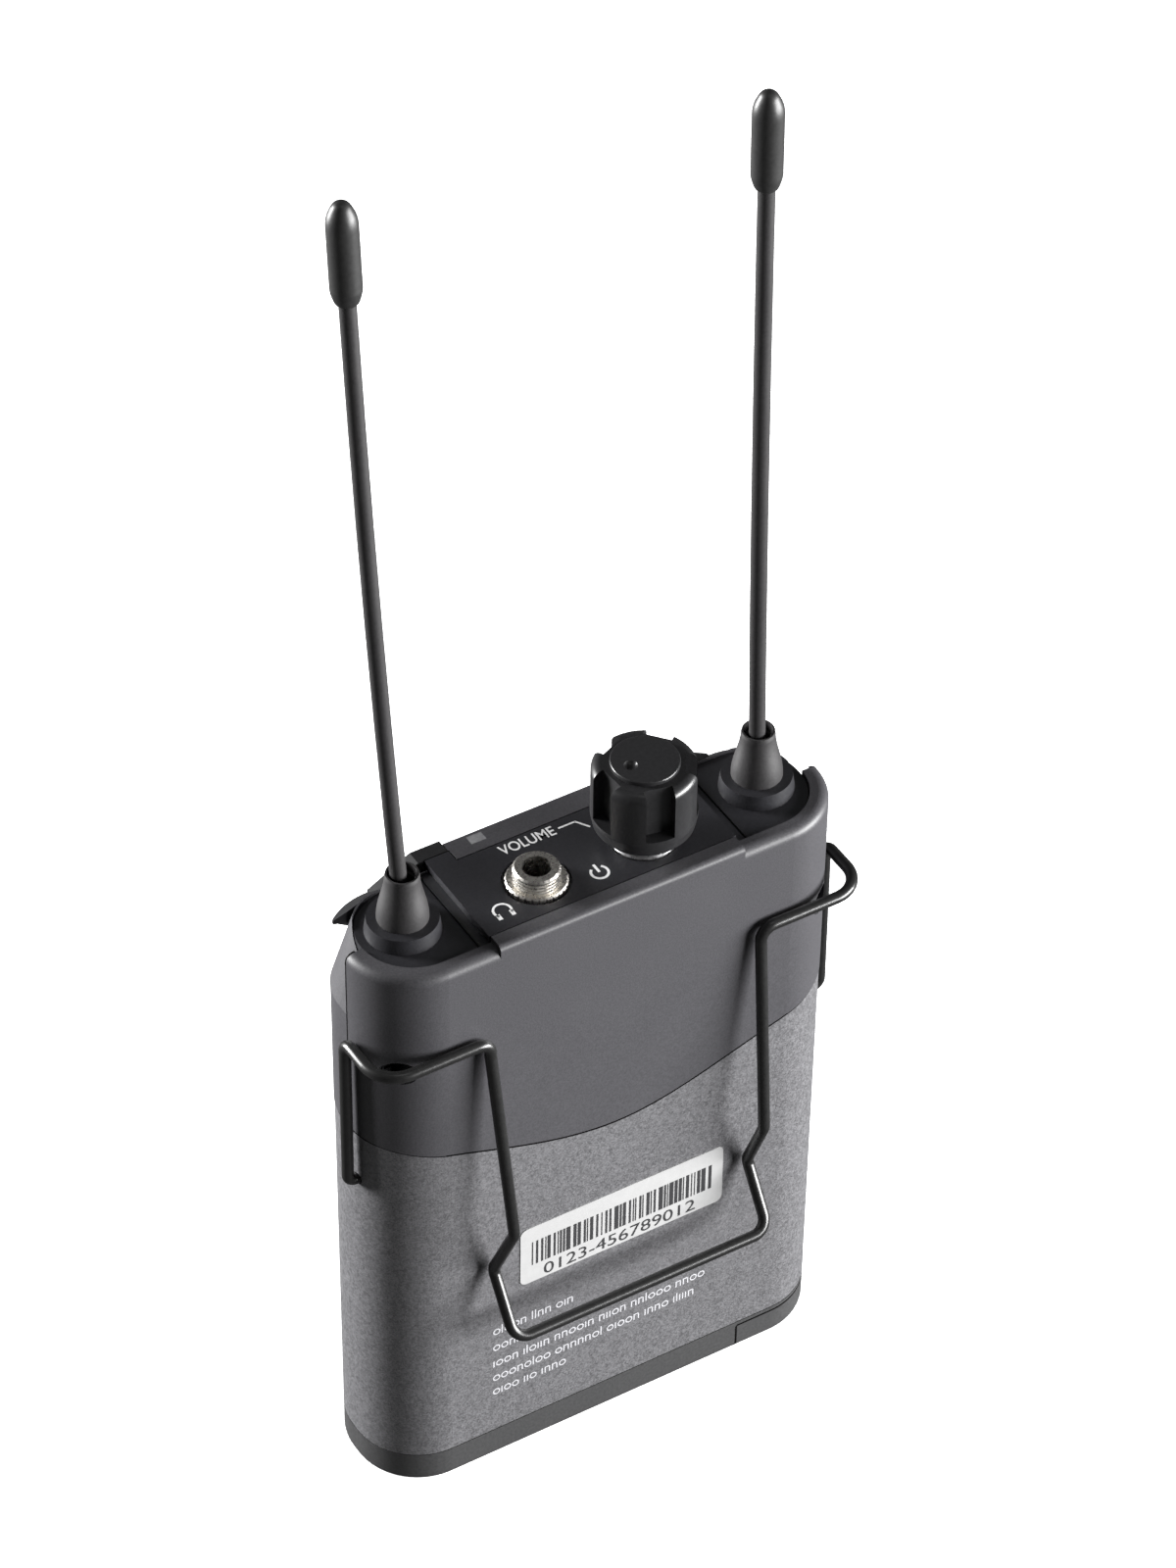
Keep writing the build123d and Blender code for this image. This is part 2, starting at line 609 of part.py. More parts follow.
def make_top_cap():
    with BuildPart() as top_cap:
        extrude(cap_sketch(CAP_BOTTOM), amount=PLATFORM_TOP - CAP_BOTTOM)
        for side in (-1, 1):
            lobe = sorted((side * PLATFORM_HALF, side * BIG))
            block(lobe, (-BIG, BIG), (LOBE_TOP, BIG), mode=Mode.SUBTRACT)
            groove = sorted((side * (PLATFORM_HALF + 1.3), side * (PLATFORM_HALF + 1.6)))
            block(groove, (-BIG, BIG), (LOBE_TOP - 0.3, BIG), mode=Mode.SUBTRACT)
        for centre, radius in ((JACK, FERRULE_RADIUS), (KNOB, BUSHING_RADIUS)):
            rod(centre, RECESS_RADIUS, RECESS_FLOOR, BIG, mode=Mode.SUBTRACT)
            rod(centre, radius, 0, BIG, mode=Mode.SUBTRACT)
        for side in (-1, 1):
            rod((side * ANTENNA_X, 0), WHIP_RADIUS, 0, BIG, mode=Mode.SUBTRACT)
    top_cap.part.label = "top_cap"
    return top_cap.part


# ---- headphone jack ----
def make_jack_ferrule():
    """Threaded sleeve with a bore for a 3.5 mm plug."""
    pitch = 0.5
    turns = 4
    with BuildPart() as jack_ferrule:
        rod(JACK, FERRULE_RADIUS, FERRULE_FOOT, FERRULE_TOP)
        chamfer(jack_ferrule.edges().group_by(Axis.Z)[-1], length=0.25)
        for turn in range(turns):
            groove_z = FERRULE_TOP - 0.65 - pitch * turn
            with BuildSketch(Plane.XZ.offset(-JACK[1])) as notch:
                with Locations((JACK[0] + FERRULE_RADIUS, groove_z)):
                    RegularPolygon(radius=0.26, side_count=3, rotation=180)
            axis = Axis((JACK[0], JACK[1], 0), (0, 0, 1))
            revolve(notch.sketch, axis=axis, mode=Mode.SUBTRACT)
        rod(JACK, JACK_BORE, 0, BIG, mode=Mode.SUBTRACT)
    jack_ferrule.part.label = "jack_ferrule"
    return jack_ferrule.part


def make_jack_nut():
    """Round nut with a serrated rim."""
    teeth = 28
    with BuildPart() as jack_nut:
        rod(JACK, 3.95, RECESS_FLOOR, RECESS_FLOOR + 1.0)
        chamfer(jack_nut.edges().group_by(Axis.Z)[-1], length=0.2)
        with Locations((JACK[0], JACK[1], RECESS_FLOOR + 0.5)):
            with PolarLocations(4.05, teeth):
                Cylinder(0.2, 1.2, mode=Mode.SUBTRACT)
        rod(JACK, FERRULE_RADIUS, 0, BIG, mode=Mode.SUBTRACT)
    jack_nut.part.label = "jack_nut"
    return jack_nut.part


def make_jack_body():
    with BuildPart() as jack_body:
        x, y = JACK
        block((x - 4.6, x + 4.6), (y - 4.1, y + 4.1), (COMPONENT_FLOOR, CAP_BOTTOM))
        rod(JACK, FERRULE_RADIUS, FERRULE_FOOT, BIG, mode=Mode.SUBTRACT)
        rod(JACK, JACK_BORE, JACK_FLOOR, FERRULE_FOOT, mode=Mode.SUBTRACT)
        for side in (-1, 1):
            slot = sorted((x + side * JACK_BORE / 2, x + side * 5))
            block(slot, (y - 0.8, y + 0.8), (JACK_FLOOR, FERRULE_FOOT - 0.3), mode=Mode.SUBTRACT)
    jack_body.part.label = "jack_body"
    return jack_body.part


def make_jack_contacts():
    """Two leaf contacts in the body's side slots."""
    x, y = JACK
    with BuildPart() as jack_contacts:
        for side in (-1, 1):
            leaf = sorted((x + side * 2.6, x + side * 2.85))
            block(leaf, (y - 0.7, y + 0.7), (JACK_FLOOR, FERRULE_FOOT - 0.4))
            with Locations(Location((x + side * 2.6, y, JACK_FLOOR + 1.6), (90, 0, 0))):
                Cylinder(0.55, 1.4)
    jack_contacts.part.label = "jack_contacts"
    return jack_contacts.part


# ---- volume control ----
def make_pot_body():
    with BuildPart() as pot_body:
        x, y = KNOB
        block((x - 4.8, x + 4.8), (y - 4.1, y + 4.7), (COMPONENT_FLOOR, CAP_BOTTOM))
        rod(KNOB, SHAFT_RADIUS + RUNNING_GAP, COMPONENT_FLOOR + 5, BIG, mode=Mode.SUBTRACT)
    pot_body.part.label = "pot_body"
    return pot_body.part


def make_pot_bushing():
    with BuildPart() as pot_bushing:
        rod(KNOB, BUSHING_RADIUS, CAP_BOTTOM, BUSHING_TOP)
        rod(KNOB, SHAFT_RADIUS + RUNNING_GAP, 0, BIG, mode=Mode.SUBTRACT)
    pot_bushing.part.label = "pot_bushing"
    return pot_bushing.part


def make_pot_nut():
    with BuildPart() as pot_nut:
        rod(KNOB, 4.25, RECESS_FLOOR, RECESS_FLOOR + 1.0)
        chamfer(pot_nut.edges().group_by(Axis.Z)[-1], length=0.2)
        rod(KNOB, BUSHING_RADIUS, 0, BIG, mode=Mode.SUBTRACT)
    pot_nut.part.label = "pot_nut"
    return pot_nut.part


def make_pot_shaft():
    with BuildPart() as pot_shaft:
        rod(KNOB, SHAFT_RADIUS, COMPONENT_FLOOR + 5.1, SHAFT_TOP)
        with Locations((KNOB[0], KNOB[1] + SHAFT_RADIUS - 0.4, BUSHING_TOP + 3)):
            Box(BIG, 0.9, 5.0, mode=Mode.SUBTRACT)
    pot_shaft.part.label = "pot_shaft"
    return pot_shaft.part


def make_volume_knob():
    """Knob with open-topped finger slots between five lobes, above a plain skirt."""
    crown_top = KNOB_TOP - 0.35
    slot_floor = KNOB_FOOT + 3.0
    crown_round = 1.2
    bore_top = SHAFT_TOP
    axis = Axis((KNOB[0], KNOB[1], 0), (0, 0, 1))
    with BuildPart() as volume_knob:
        with BuildSketch(Plane.XZ.offset(-KNOB[1])) as half_profile:
            with BuildLine(Plane.XZ.offset(-KNOB[1])) as edge:
                rim = KNOB[0] + KNOB_RADIUS
                Polyline(
                    (rim - crown_round, crown_top),
                    (KNOB[0], crown_top),
                    (KNOB[0], KNOB_FOOT),
                    (rim - 1.0, KNOB_FOOT),
                    (rim - 0.3, KNOB_FOOT + 0.9),
                    (rim, KNOB_FOOT + 2.4),
                    (rim, crown_top - crown_round),
                )
                RadiusArc((rim, crown_top - crown_round), (rim - crown_round, crown_top), -crown_round)
            make_face()
        revolve(half_profile.sketch, axis=axis)
        for index in range(KNOB_SLOTS):
            angle = SLOT_PHASE + index * 360 / KNOB_SLOTS
            turned = Plane(origin=(KNOB[0], KNOB[1], slot_floor)).rotated((0, 0, angle))
            with BuildSketch(turned) as slot:
                with Locations((SLOT_FLOOR_RADIUS + 2.5, 0)):
                    Rectangle(5.0, SLOT_WIDTH)
            extrude(slot.sketch, amount=BIG / 4, mode=Mode.SUBTRACT)
        rod(KNOB, 4.6, 0, BUSHING_TOP + 0.5, mode=Mode.SUBTRACT)
        rod(KNOB, SHAFT_RADIUS, 0, bore_top, mode=Mode.SUBTRACT)
    volume_knob.part.label = "volume_knob"
    return volume_knob.part


def make_knob_disc():
    """Disc set on the knob's top, with a dimple that marks its angle."""
    mark = math.radians(SLOT_PHASE - 3)
    with BuildPart() as knob_disc:
        rod(KNOB, 4.35, KNOB_TOP - 0.35, KNOB_TOP + 0.25)
        fillet(knob_disc.edges().group_by(Axis.Z)[-1], radius=0.18)
        with Locations((KNOB[0] + 2.1 * math.cos(mark), KNOB[1] + 2.1 * math.sin(mark), KNOB_TOP + 1.0)):
            Sphere(1.15, mode=Mode.SUBTRACT)
    knob_disc.part.label = "knob_disc"
    return knob_disc.part


# ---- antennas ----
def whip_point(side, height):
    """Centre of the bowed whip where it passes a height."""
    share = (height - WHIP_FOOT) / (WHIP_TOP - WHIP_FOOT)
    lean_x, lean_y = WHIP_LEAN[side]
    bow = WHIP_BOW[side] * 4 * share * (1 - share)
    return (side * ANTENNA_X + lean_x * share + bow, lean_y * share, height)


def whip_curve(side):
    """The whip's centre line, from the knuckle inside its boot up to its top."""
    heights = (WHIP_KNUCKLE, (WHIP_KNUCKLE + WHIP_TOP) / 2, WHIP_TOP)
    return ThreePointArc(*[whip_point(side, height) for height in heights])


def make_whip(side):
    foot = 85.0
    centre = (side * ANTENNA_X, 0)
    curve = whip_curve(side)
    with BuildPart() as whip:
        rod(centre, WHIP_RADIUS, foot, WHIP_KNUCKLE)
        with Locations((*centre, WHIP_KNUCKLE)):
            Sphere(WHIP_RADIUS + 0.1)
        with BuildLine():
            add(curve)
        with BuildSketch(Plane(origin=curve @ 0, z_dir=curve % 0)):
            Circle(WHIP_RADIUS)
        sweep()
    whip.part.label = "antenna_whip_left" if side < 0 else "antenna_whip_right"
    return whip.part


def make_sleeve(side):
    """Rubber tip: a blind sleeve over the whip's end, with a long dome and a tapered foot."""
    whip = make_whip(side)
    top = whip_curve(side) @ 1
    upwards = whip_curve(side) % 1
    across = Vector(0, 1, 0).cross(upwards).normalized()
    low = SLEEVE_COVER - SLEEVE_LENGTH
    dome_foot = SLEEVE_COVER - SLEEVE_DOME
    with BuildPart() as sleeve:
        with BuildSketch(Plane(origin=top, x_dir=across, z_dir=across.cross(upwards))) as section:
            with BuildLine():
                Spline(
                    (WHIP_RADIUS + 0.15, low),
                    (SLEEVE_RADIUS - 0.25, low + 0.4 * SLEEVE_TAPER),
                    (SLEEVE_RADIUS, low + SLEEVE_TAPER),
                    tangents=[(1, 0.6), (0, 1)],
                )
                Line((SLEEVE_RADIUS, low + SLEEVE_TAPER), (SLEEVE_RADIUS, dome_foot))
                Spline(
                    (SLEEVE_RADIUS, dome_foot),
                    (0.7 * SLEEVE_RADIUS, dome_foot + 0.7 * SLEEVE_DOME),
                    (0, SLEEVE_COVER),
                    tangents=[(0, 1), (-1, 0)],
                )
                Polyline((0, SLEEVE_COVER), (0, low), (WHIP_RADIUS + 0.15, low))
            make_face()
        revolve(section.sketch, axis=Axis(top, upwards))
        add(whip, mode=Mode.SUBTRACT)
    sleeve.part.label = "antenna_tip_left" if side < 0 else "antenna_tip_right"
    return sleeve.part


def make_collar(side):
    """Flat rubber collar under each boot."""
    with BuildPart() as collar:
        with BuildSketch(Plane.XZ) as section:
            with BuildLine():
                Polyline(
                    (side * ANTENNA_X, LOBE_TOP),
                    (side * ANTENNA_X + COLLAR_FOOT, LOBE_TOP),
                    (side * ANTENNA_X + COLLAR_RIM, WHIP_FOOT),
                    (side * ANTENNA_X, WHIP_FOOT),
                    close=True,
                )
            make_face()
        revolve(section.sketch, axis=Axis((side * ANTENNA_X, 0, 0), (0, 0, 1)))
        rod((side * ANTENNA_X, 0), WHIP_RADIUS, 0, BIG, mode=Mode.SUBTRACT)
    collar.part.label = "antenna_collar_left" if side < 0 else "antenna_collar_right"
    return collar.part


def make_boot(side):
    """Bell-shaped boot with a flared mouth that lets the whip bend."""
    x = side * ANTENNA_X
    with BuildPart() as boot:
        with BuildSketch(Plane.XZ) as section:
            with BuildLine():
                Line((x + BOOT_BORE, WHIP_FOOT), (x + BOOT_RADIUS, WHIP_FOOT))
                Spline(
                    (x + BOOT_RADIUS, WHIP_FOOT),
                    (x + BOOT_RADIUS - 0.12, WHIP_FOOT + 1.6),
                    (x + BOOT_NECK + 0.4, BOOT_TOP - 3.1),
                    (x + BOOT_NECK, BOOT_TOP - 0.5),
                )
                Polyline(
                    (x + BOOT_NECK, BOOT_TOP - 0.5),
                    (x + BOOT_NECK - 0.1, BOOT_TOP),
                    (x + BOOT_MOUTH, BOOT_TOP),
                    (x + BOOT_MOUTH - 0.1, BOOT_TOP - 1.2),
                    (x + BOOT_MOUTH - 0.3, BOOT_TOP - 1.4),
                    (x + BOOT_BORE, WHIP_FOOT),
                )
            make_face()
        revolve(section.sketch, axis=Axis((x, 0, 0), (0, 0, 1)))
    boot.part.label = "antenna_boot_left" if side < 0 else "antenna_boot_right"
    return boot.part


def make_antenna_socket(side):
    """Brass socket under the cap that holds the whip's foot."""
    with BuildPart() as socket:
        rod((side * ANTENNA_X, 0), 2.4, 83.5, CAP_BOTTOM)
        rod((side * ANTENNA_X, 0), WHIP_RADIUS, 85.0, BIG, mode=Mode.SUBTRACT)
    socket.part.label = "antenna_socket_left" if side < 0 else "antenna_socket_right"
    return socket.part


# ---- boards, switches and buttons ----
def make_main_board():
    with BuildPart() as main_board:
        block((-27.5, 27.5), (MAIN_BOARD_Y, MAIN_BOARD_Y + BOARD_THICKNESS), (63.0, 86.6))
    main_board.part.label = "main_board"
    return main_board.part


def make_rf_shield():
    with BuildPart() as rf_shield:
        block((-26, -13.5), (MAIN_BOARD_Y - 2.2, MAIN_BOARD_Y), (65, 81))
        fillet(rf_shield.edges().group_by(Axis.Y)[0], radius=0.5)
    rf_shield.part.label = "rf_shield"
    return rf_shield.part


def make_audio_chip():
    with BuildPart() as audio_chip:
        block((15, 22), (MAIN_BOARD_Y - 1.0, MAIN_BOARD_Y), (66, 73))
    audio_chip.part.label = "audio_chip"
    return audio_chip.part


def make_control_board():
    """Small board under the jack and the volume control."""
    with BuildPart() as control_board:
        block((-13.5, 13.5), (-7.0, MAIN_BOARD_Y), (COMPONENT_FLOOR - BOARD_THICKNESS, COMPONENT_FLOOR))
    control_board.part.label = "control_board"
    return control_board.part


def make_status_led():
    with BuildPart() as status_led:
        block((LED_X - 0.8, LED_X + 0.8), (MAIN_BOARD_Y + BOARD_THICKNESS, 7.6), (85.85, 86.6))
        block((LED_X - 0.6, LED_X + 0.6), (6.9, 7.6), (86.6, LED_TOP))
    status_led.part.label = "status_led"
    return status_led.part


def make_tact_switches():
    with BuildPart() as tact_switches:
        board_face = MAIN_BOARD_Y + BOARD_THICKNESS
        for step in (-1, 0, 1):
            x = step * BUTTON_PITCH
            block((x - 2.2, x + 2.2), (board_face, board_face + 1.2), (BUTTON_Z - 1.6, BUTTON_Z + 1.6))
            rod_y(x, BUTTON_Z, 0.9, board_face + 1.2, board_face + 1.6)
    tact_switches.part.label = "tact_switches"
    return tact_switches.part


def make_button(step, name):
    """A push button, kept in by a flange behind the cover's wall."""
    with BuildPart() as button:
        with BuildSketch(Plane.XZ.offset(-7.7)) as head:
            with Locations((step * BUTTON_PITCH, BUTTON_Z)):
                RectangleRounded(*BUTTON_SIZE, 1.6)
        extrude(head.sketch, amount=-2.5)
        fillet(button.faces().sort_by(Axis.Y)[-1].edges(), radius=0.3)
        with BuildSketch(Plane.XZ.offset(-6.8)) as flange:
            with Locations((step * BUTTON_PITCH, BUTTON_Z)):
                RectangleRounded(BUTTON_SIZE[0] + 1.6, BUTTON_SIZE[1] + 1.2, 1.8)
        extrude(flange.sketch, amount=-0.9)
    button.part.label = name
    return button.part


# ---- belt clip ----
def make_clip_arm(side):
    """Half of the wire clip's fixed end: socket tip, side leg and the bar round the corner."""
    tip_y, tip_z = CLIP_TIP
    with BuildPart() as arm:
        with BuildLine() as path:
            FilletPolyline(
                (side * (CLIP_SIDE_X - 3.2), tip_y, tip_z),
                (side * CLIP_SIDE_X, tip_y, tip_z),
                (side * CLIP_SIDE_X, CLIP_SIDE_Y, CLIP_BAR_Z),
                (side * CLIP_SIDE_X, CLIP_BACK_Y, CLIP_BAR_Z),
                (side * CLIP_TOP_X, CLIP_BACK_Y, CLIP_BAR_Z),
                (side * CLIP_TOP_X, CLIP_BACK_Y, CLIP_HINGE_Z + CLIP_SPLIT),
                radius=[1.1, 1.6, 4.2, 2.0],
            )
        with BuildSketch(Plane(origin=path.line @ 0, z_dir=path.line % 0)):
            Circle(WIRE_RADIUS)
        sweep()
    arm.part.label = "belt_clip_arm_left" if side < 0 else "belt_clip_arm_right"
    return arm.part


def make_clip_spring():
    """The clip's springing end: two legs pinched towards the back cover, joined at the foot."""
    half = [
        (CLIP_TOP_X, CLIP_BACK_Y, CLIP_HINGE_Z),
        CLIP_OUTER,
        CLIP_PINCH,
        CLIP_FOOT,
    ]
    mirrored = [(-x, y, z) for x, y, z in reversed(half)]
    with BuildPart() as belt_clip_spring:
        with BuildLine() as path:
            FilletPolyline(*half, *mirrored, radius=[2.5, 1.6, 2.2, 2.2, 1.6, 2.5])
        with BuildSketch(Plane(origin=path.line @ 0, z_dir=path.line % 0)):
            Circle(WIRE_RADIUS)
        sweep()
    belt_clip_spring.part.label = "belt_clip_spring"
    return belt_clip_spring.part


# ---- fasteners and label ----
def make_case_screws():
    """Two screws through the back cover into the front cover."""
    with BuildPart() as case_screws:
        for side in (-1, 1):
            x = side * SCREW_X
            rod_y(x, SCREW_Z, SCREW_HEAD, SCREW_SEAT_Y - 1.4, SCREW_SEAT_Y)
            rod_y(x, SCREW_Z, SCREW_SHANK, SCREW_SEAT_Y, 2.8)
            for turn in (0, 90):
                with Locations(Location((x, SCREW_SEAT_Y - 1.4, SCREW_Z), (0, turn, 0))):
                    Box(2.6, 1.2, 0.5, mode=Mode.SUBTRACT)
    case_screws.part.label = "case_screws"
    return case_screws.part


def make_foot_screws():
    """Two screws up through the bottom cap into the lower housing."""
    with BuildPart() as foot_screws:
        for side in (-1, 1):
            centre = (side * FOOT_SCREW_X, 2.6)
            rod(centre, 1.8, 0.5, 1.7)
            rod(centre, SCREW_SHANK, 1.7, 11.5)
            for turn in (0, 90):
                with Locations(Location((*centre, 0.5), (0, 0, turn))):
                    Box(2.4, 0.5, 1.0, mode=Mode.SUBTRACT)
    foot_screws.part.label = "foot_screws"
    return foot_screws.part


def make_barcode_label():
    centre_x, centre_z = LABEL_CENTRE
    face = Plane(
        origin=(centre_x, -half_depth(centre_z), centre_z),
        x_dir=(1, 0, 0),
        z_dir=(0, -1, -slope),
    )
    with BuildPart() as barcode_label:
        with BuildSketch(face) as outline:
            RectangleRounded(*LABEL_SIZE, 1.0)
        extrude(outline.sketch, amount=LABEL_THICKNESS)
    barcode_label.part.label = "barcode_label"
    return barcode_label.part


def make_pieces():
    """Every piece of the receiver, where it lies when assembled."""
    yield make_bottom_cap()
    yield make_port_cover()
    yield make_port_pivot()
    yield make_usb_socket()
    yield make_charge_board()
    yield make_lower_housing()
    yield make_battery_door()
    yield make_door_pin()
    yield make_battery_tray()
    yield make_contact_plates()
    for side in (-1, 1):
        yield make_cell(side)
        yield make_contact_spring(side)
    yield make_upper_back_cover()
    yield make_upper_front_cover()
    yield make_display_bezel()
    yield make_display_lens()
    yield make_lcd_module()
    yield make_lcd_glass()
    yield make_top_cap()
    yield make_led_window()
    yield make_status_led()
    yield make_jack_ferrule()
    yield make_jack_nut()
    yield make_jack_body()
    yield make_jack_contacts()
    yield make_pot_body()
    yield make_pot_bushing()
    yield make_pot_nut()
    yield make_pot_shaft()
    yield make_volume_knob()
    yield make_knob_disc()
    for side in (-1, 1):
        yield make_whip(side)
        yield make_sleeve(side)
        yield make_collar(side)
        yield make_boot(side)
        yield make_antenna_socket(side)
        yield make_clip_arm(side)
    yield make_clip_spring()
    yield make_main_board()
    yield make_control_board()
    yield make_rf_shield()
    yield make_audio_chip()
    yield make_tact_switches()
    for step, name in ((-1, "set_button"), (0, "down_button"), (1, "up_button")):
        yield make_button(step, name)
    yield make_case_screws()
    yield make_foot_screws()
    yield make_barcode_label()


os.makedirs("parts", exist_ok=True)
for piece in make_pieces():
    export_step(piece, f"parts/{piece.label}.step")
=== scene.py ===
import json
import math
import random

import bmesh
import bpy
from mathutils import Matrix, Vector


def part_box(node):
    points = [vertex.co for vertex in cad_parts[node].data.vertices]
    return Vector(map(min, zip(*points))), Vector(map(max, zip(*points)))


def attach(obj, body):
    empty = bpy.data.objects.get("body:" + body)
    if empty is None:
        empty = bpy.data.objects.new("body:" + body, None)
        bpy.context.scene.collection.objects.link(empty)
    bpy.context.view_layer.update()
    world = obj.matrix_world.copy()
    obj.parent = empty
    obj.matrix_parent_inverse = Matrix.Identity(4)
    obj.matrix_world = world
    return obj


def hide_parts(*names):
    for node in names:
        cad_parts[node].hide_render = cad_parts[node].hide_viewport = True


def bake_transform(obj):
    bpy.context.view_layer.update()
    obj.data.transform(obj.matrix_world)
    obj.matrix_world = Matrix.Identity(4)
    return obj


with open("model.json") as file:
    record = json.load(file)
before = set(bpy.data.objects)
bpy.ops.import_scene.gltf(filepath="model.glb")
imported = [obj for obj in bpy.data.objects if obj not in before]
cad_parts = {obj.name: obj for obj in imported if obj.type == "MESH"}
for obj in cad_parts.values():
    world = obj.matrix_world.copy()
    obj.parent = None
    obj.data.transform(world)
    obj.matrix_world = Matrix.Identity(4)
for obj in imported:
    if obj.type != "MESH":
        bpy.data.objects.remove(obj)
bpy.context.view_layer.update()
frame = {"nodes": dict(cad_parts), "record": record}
MM = 0.001

# ---- sizes, in mm where bare and in metres where scaled by MM; the panel top and the label's box are read from the parts ----
WIRE_RADIUS = 0.78 * MM
CLIP_SIDE_X = 34.75
CLIP_SIDE_Y = -2.0
CLIP_TIP_Y = -2.1
CLIP_TIP_Z = 53.4
CLIP_TIP_DEPTH = 3.2
CLIP_TOP_X = 19.5
CLIP_TOP_Z = 77.8
CLIP_BACK_Y = -11.1
CLIP_LEG_X = 18.9
TUBE_END_SIZE = 0.72
TUBE_END_DEPTH = 0.3
PANEL_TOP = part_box("top_cap")[1].z
LABEL_LOW, LABEL_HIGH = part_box("barcode_label")
BACK_SLOPE = math.radians(0.27)
PRINT_THICKNESS = 0.012 * MM
PRINT_LIFT = 0.008 * MM
LABEL_TO_SKIN = 0.05 * MM
SKIN_X = 29.5 * MM
SKIN_Y = 6 * MM
CORE_X = 24 * MM
SEAM_LIFT = 0.01 * MM
SEAM_OVERLAP = 0.03 * MM
SEAM_DEPTH = 0.08 * MM
BAR_FOOT = 33.4
BAR_MIDDLE = 35.3
SMALL_PRINT_MIDDLE = 20
LIGHT_DISTANCE = 0.9


# ---- materials ----
def new_material(name):
    material = bpy.data.materials.new(name)
    material.use_nodes = True
    tree = material.node_tree
    return material, tree, tree.nodes["Principled BSDF"]


def set_inputs(shader, **values):
    for key, value in values.items():
        shader.inputs[key.replace("_", " ")].default_value = value


def noise(tree, scale, detail=2.0, roughness=0.5, stretch=(1, 1, 1)):
    """Noise in the object's own metres, so its grain has a real size."""
    where = tree.nodes.new("ShaderNodeTexCoord")
    mapping = tree.nodes.new("ShaderNodeMapping")
    mapping.inputs["Scale"].default_value = stretch
    texture = tree.nodes.new("ShaderNodeTexNoise")
    texture.inputs["Scale"].default_value = scale
    texture.inputs["Detail"].default_value = detail
    texture.inputs["Roughness"].default_value = roughness
    tree.links.new(where.outputs["Object"], mapping.inputs["Vector"])
    tree.links.new(mapping.outputs["Vector"], texture.inputs["Vector"])
    return texture.outputs["Fac"]


def cells(tree, scale):
    """A random value for each small cell, for metallic flakes."""
    where = tree.nodes.new("ShaderNodeTexCoord")
    texture = tree.nodes.new("ShaderNodeTexVoronoi")
    texture.inputs["Scale"].default_value = scale
    tree.links.new(where.outputs["Object"], texture.inputs["Vector"])
    return texture.outputs["Color"]


def remap(tree, value, low, high, start=0.3, end=0.7):
    node = tree.nodes.new("ShaderNodeMapRange")
    node.inputs["From Min"].default_value = start
    node.inputs["From Max"].default_value = end
    node.inputs["To Min"].default_value = low
    node.inputs["To Max"].default_value = high
    tree.links.new(value, node.inputs["Value"])
    return node.outputs["Result"]


def mix_colour(tree, factor, first, second):
    node = tree.nodes.new("ShaderNodeMix")
    node.data_type = "RGBA"
    node.inputs["A"].default_value = (*first, 1)
    node.inputs["B"].default_value = (*second, 1)
    tree.links.new(factor, node.inputs["Factor"])
    return node.outputs["Result"]


def bump(tree, shader, height, distance, strength=1.0):
    node = tree.nodes.new("ShaderNodeBump")
    node.inputs["Distance"].default_value = distance
    node.inputs["Strength"].default_value = strength
    tree.links.new(height, node.inputs["Height"])
    tree.links.new(node.outputs["Normal"], shader.inputs["Normal"])
    return node


def moulded(name, colour, roughness, grain=4200, depth=0.012 * MM, spread=0.18, specular=0.5):
    """Moulded plastic or rubber: a fine eroded grain with slight changes of tone and gloss."""
    material, tree, shader = new_material(name)
    fine = noise(tree, grain, detail=3)
    broad = noise(tree, 90, detail=4)
    darker = [channel * (1 - spread) for channel in colour]
    lighter = [channel * (1 + spread) for channel in colour]
    tree.links.new(mix_colour(tree, remap(tree, fine, 0, 1), darker, lighter), shader.inputs["Base Color"])
    tree.links.new(remap(tree, broad, roughness - 0.03, roughness + 0.03), shader.inputs["Roughness"])
    set_inputs(shader, Specular_IOR_Level=specular)
    bump(tree, shader, fine, depth)
    return material


def flake_paint(name, colour, roughness):
    """Dark metallic paint whose flakes show as a fine sparkle."""
    material, tree, shader = new_material(name)
    flakes = cells(tree, 5200)
    clouds = noise(tree, 1500, detail=2)
    tone = tree.nodes.new("ShaderNodeMix")
    tone.data_type = "FLOAT"
    tone.inputs["Factor"].default_value = 0.45
    tree.links.new(flakes, tone.inputs["A"])
    tree.links.new(clouds, tone.inputs["B"])
    value = tone.outputs["Result"]
    dark = [channel * 0.62 for channel in colour]
    light = [channel * 1.45 for channel in colour]
    tint = mix_colour(tree, remap(tree, value, 0, 1, 0.2, 0.8), dark, light)
    tree.links.new(tint, shader.inputs["Base Color"])
    tree.links.new(remap(tree, value, roughness - 0.06, roughness + 0.08), shader.inputs["Roughness"])
    set_inputs(shader, Metallic=0.35, Specular_IOR_Level=0.5)
    bump(tree, shader, value, 0.02 * MM, 0.5)
    return material


def metal(name, colour, roughness, streak=(1, 1, 1), depth=0.006 * MM):
    """Bare or plated metal with fine tool marks."""
    material, tree, shader = new_material(name)
    marks = noise(tree, 2600, detail=3, stretch=streak)
    stain = noise(tree, 500, detail=3)
    dull = [channel * 0.82 for channel in colour]
    tree.links.new(mix_colour(tree, remap(tree, stain, 0, 1), dull, colour), shader.inputs["Base Color"])
    tree.links.new(remap(tree, marks, roughness - 0.05, roughness + 0.12), shader.inputs["Roughness"])
    set_inputs(shader, Metallic=1.0)
    bump(tree, shader, marks, depth)
    return material


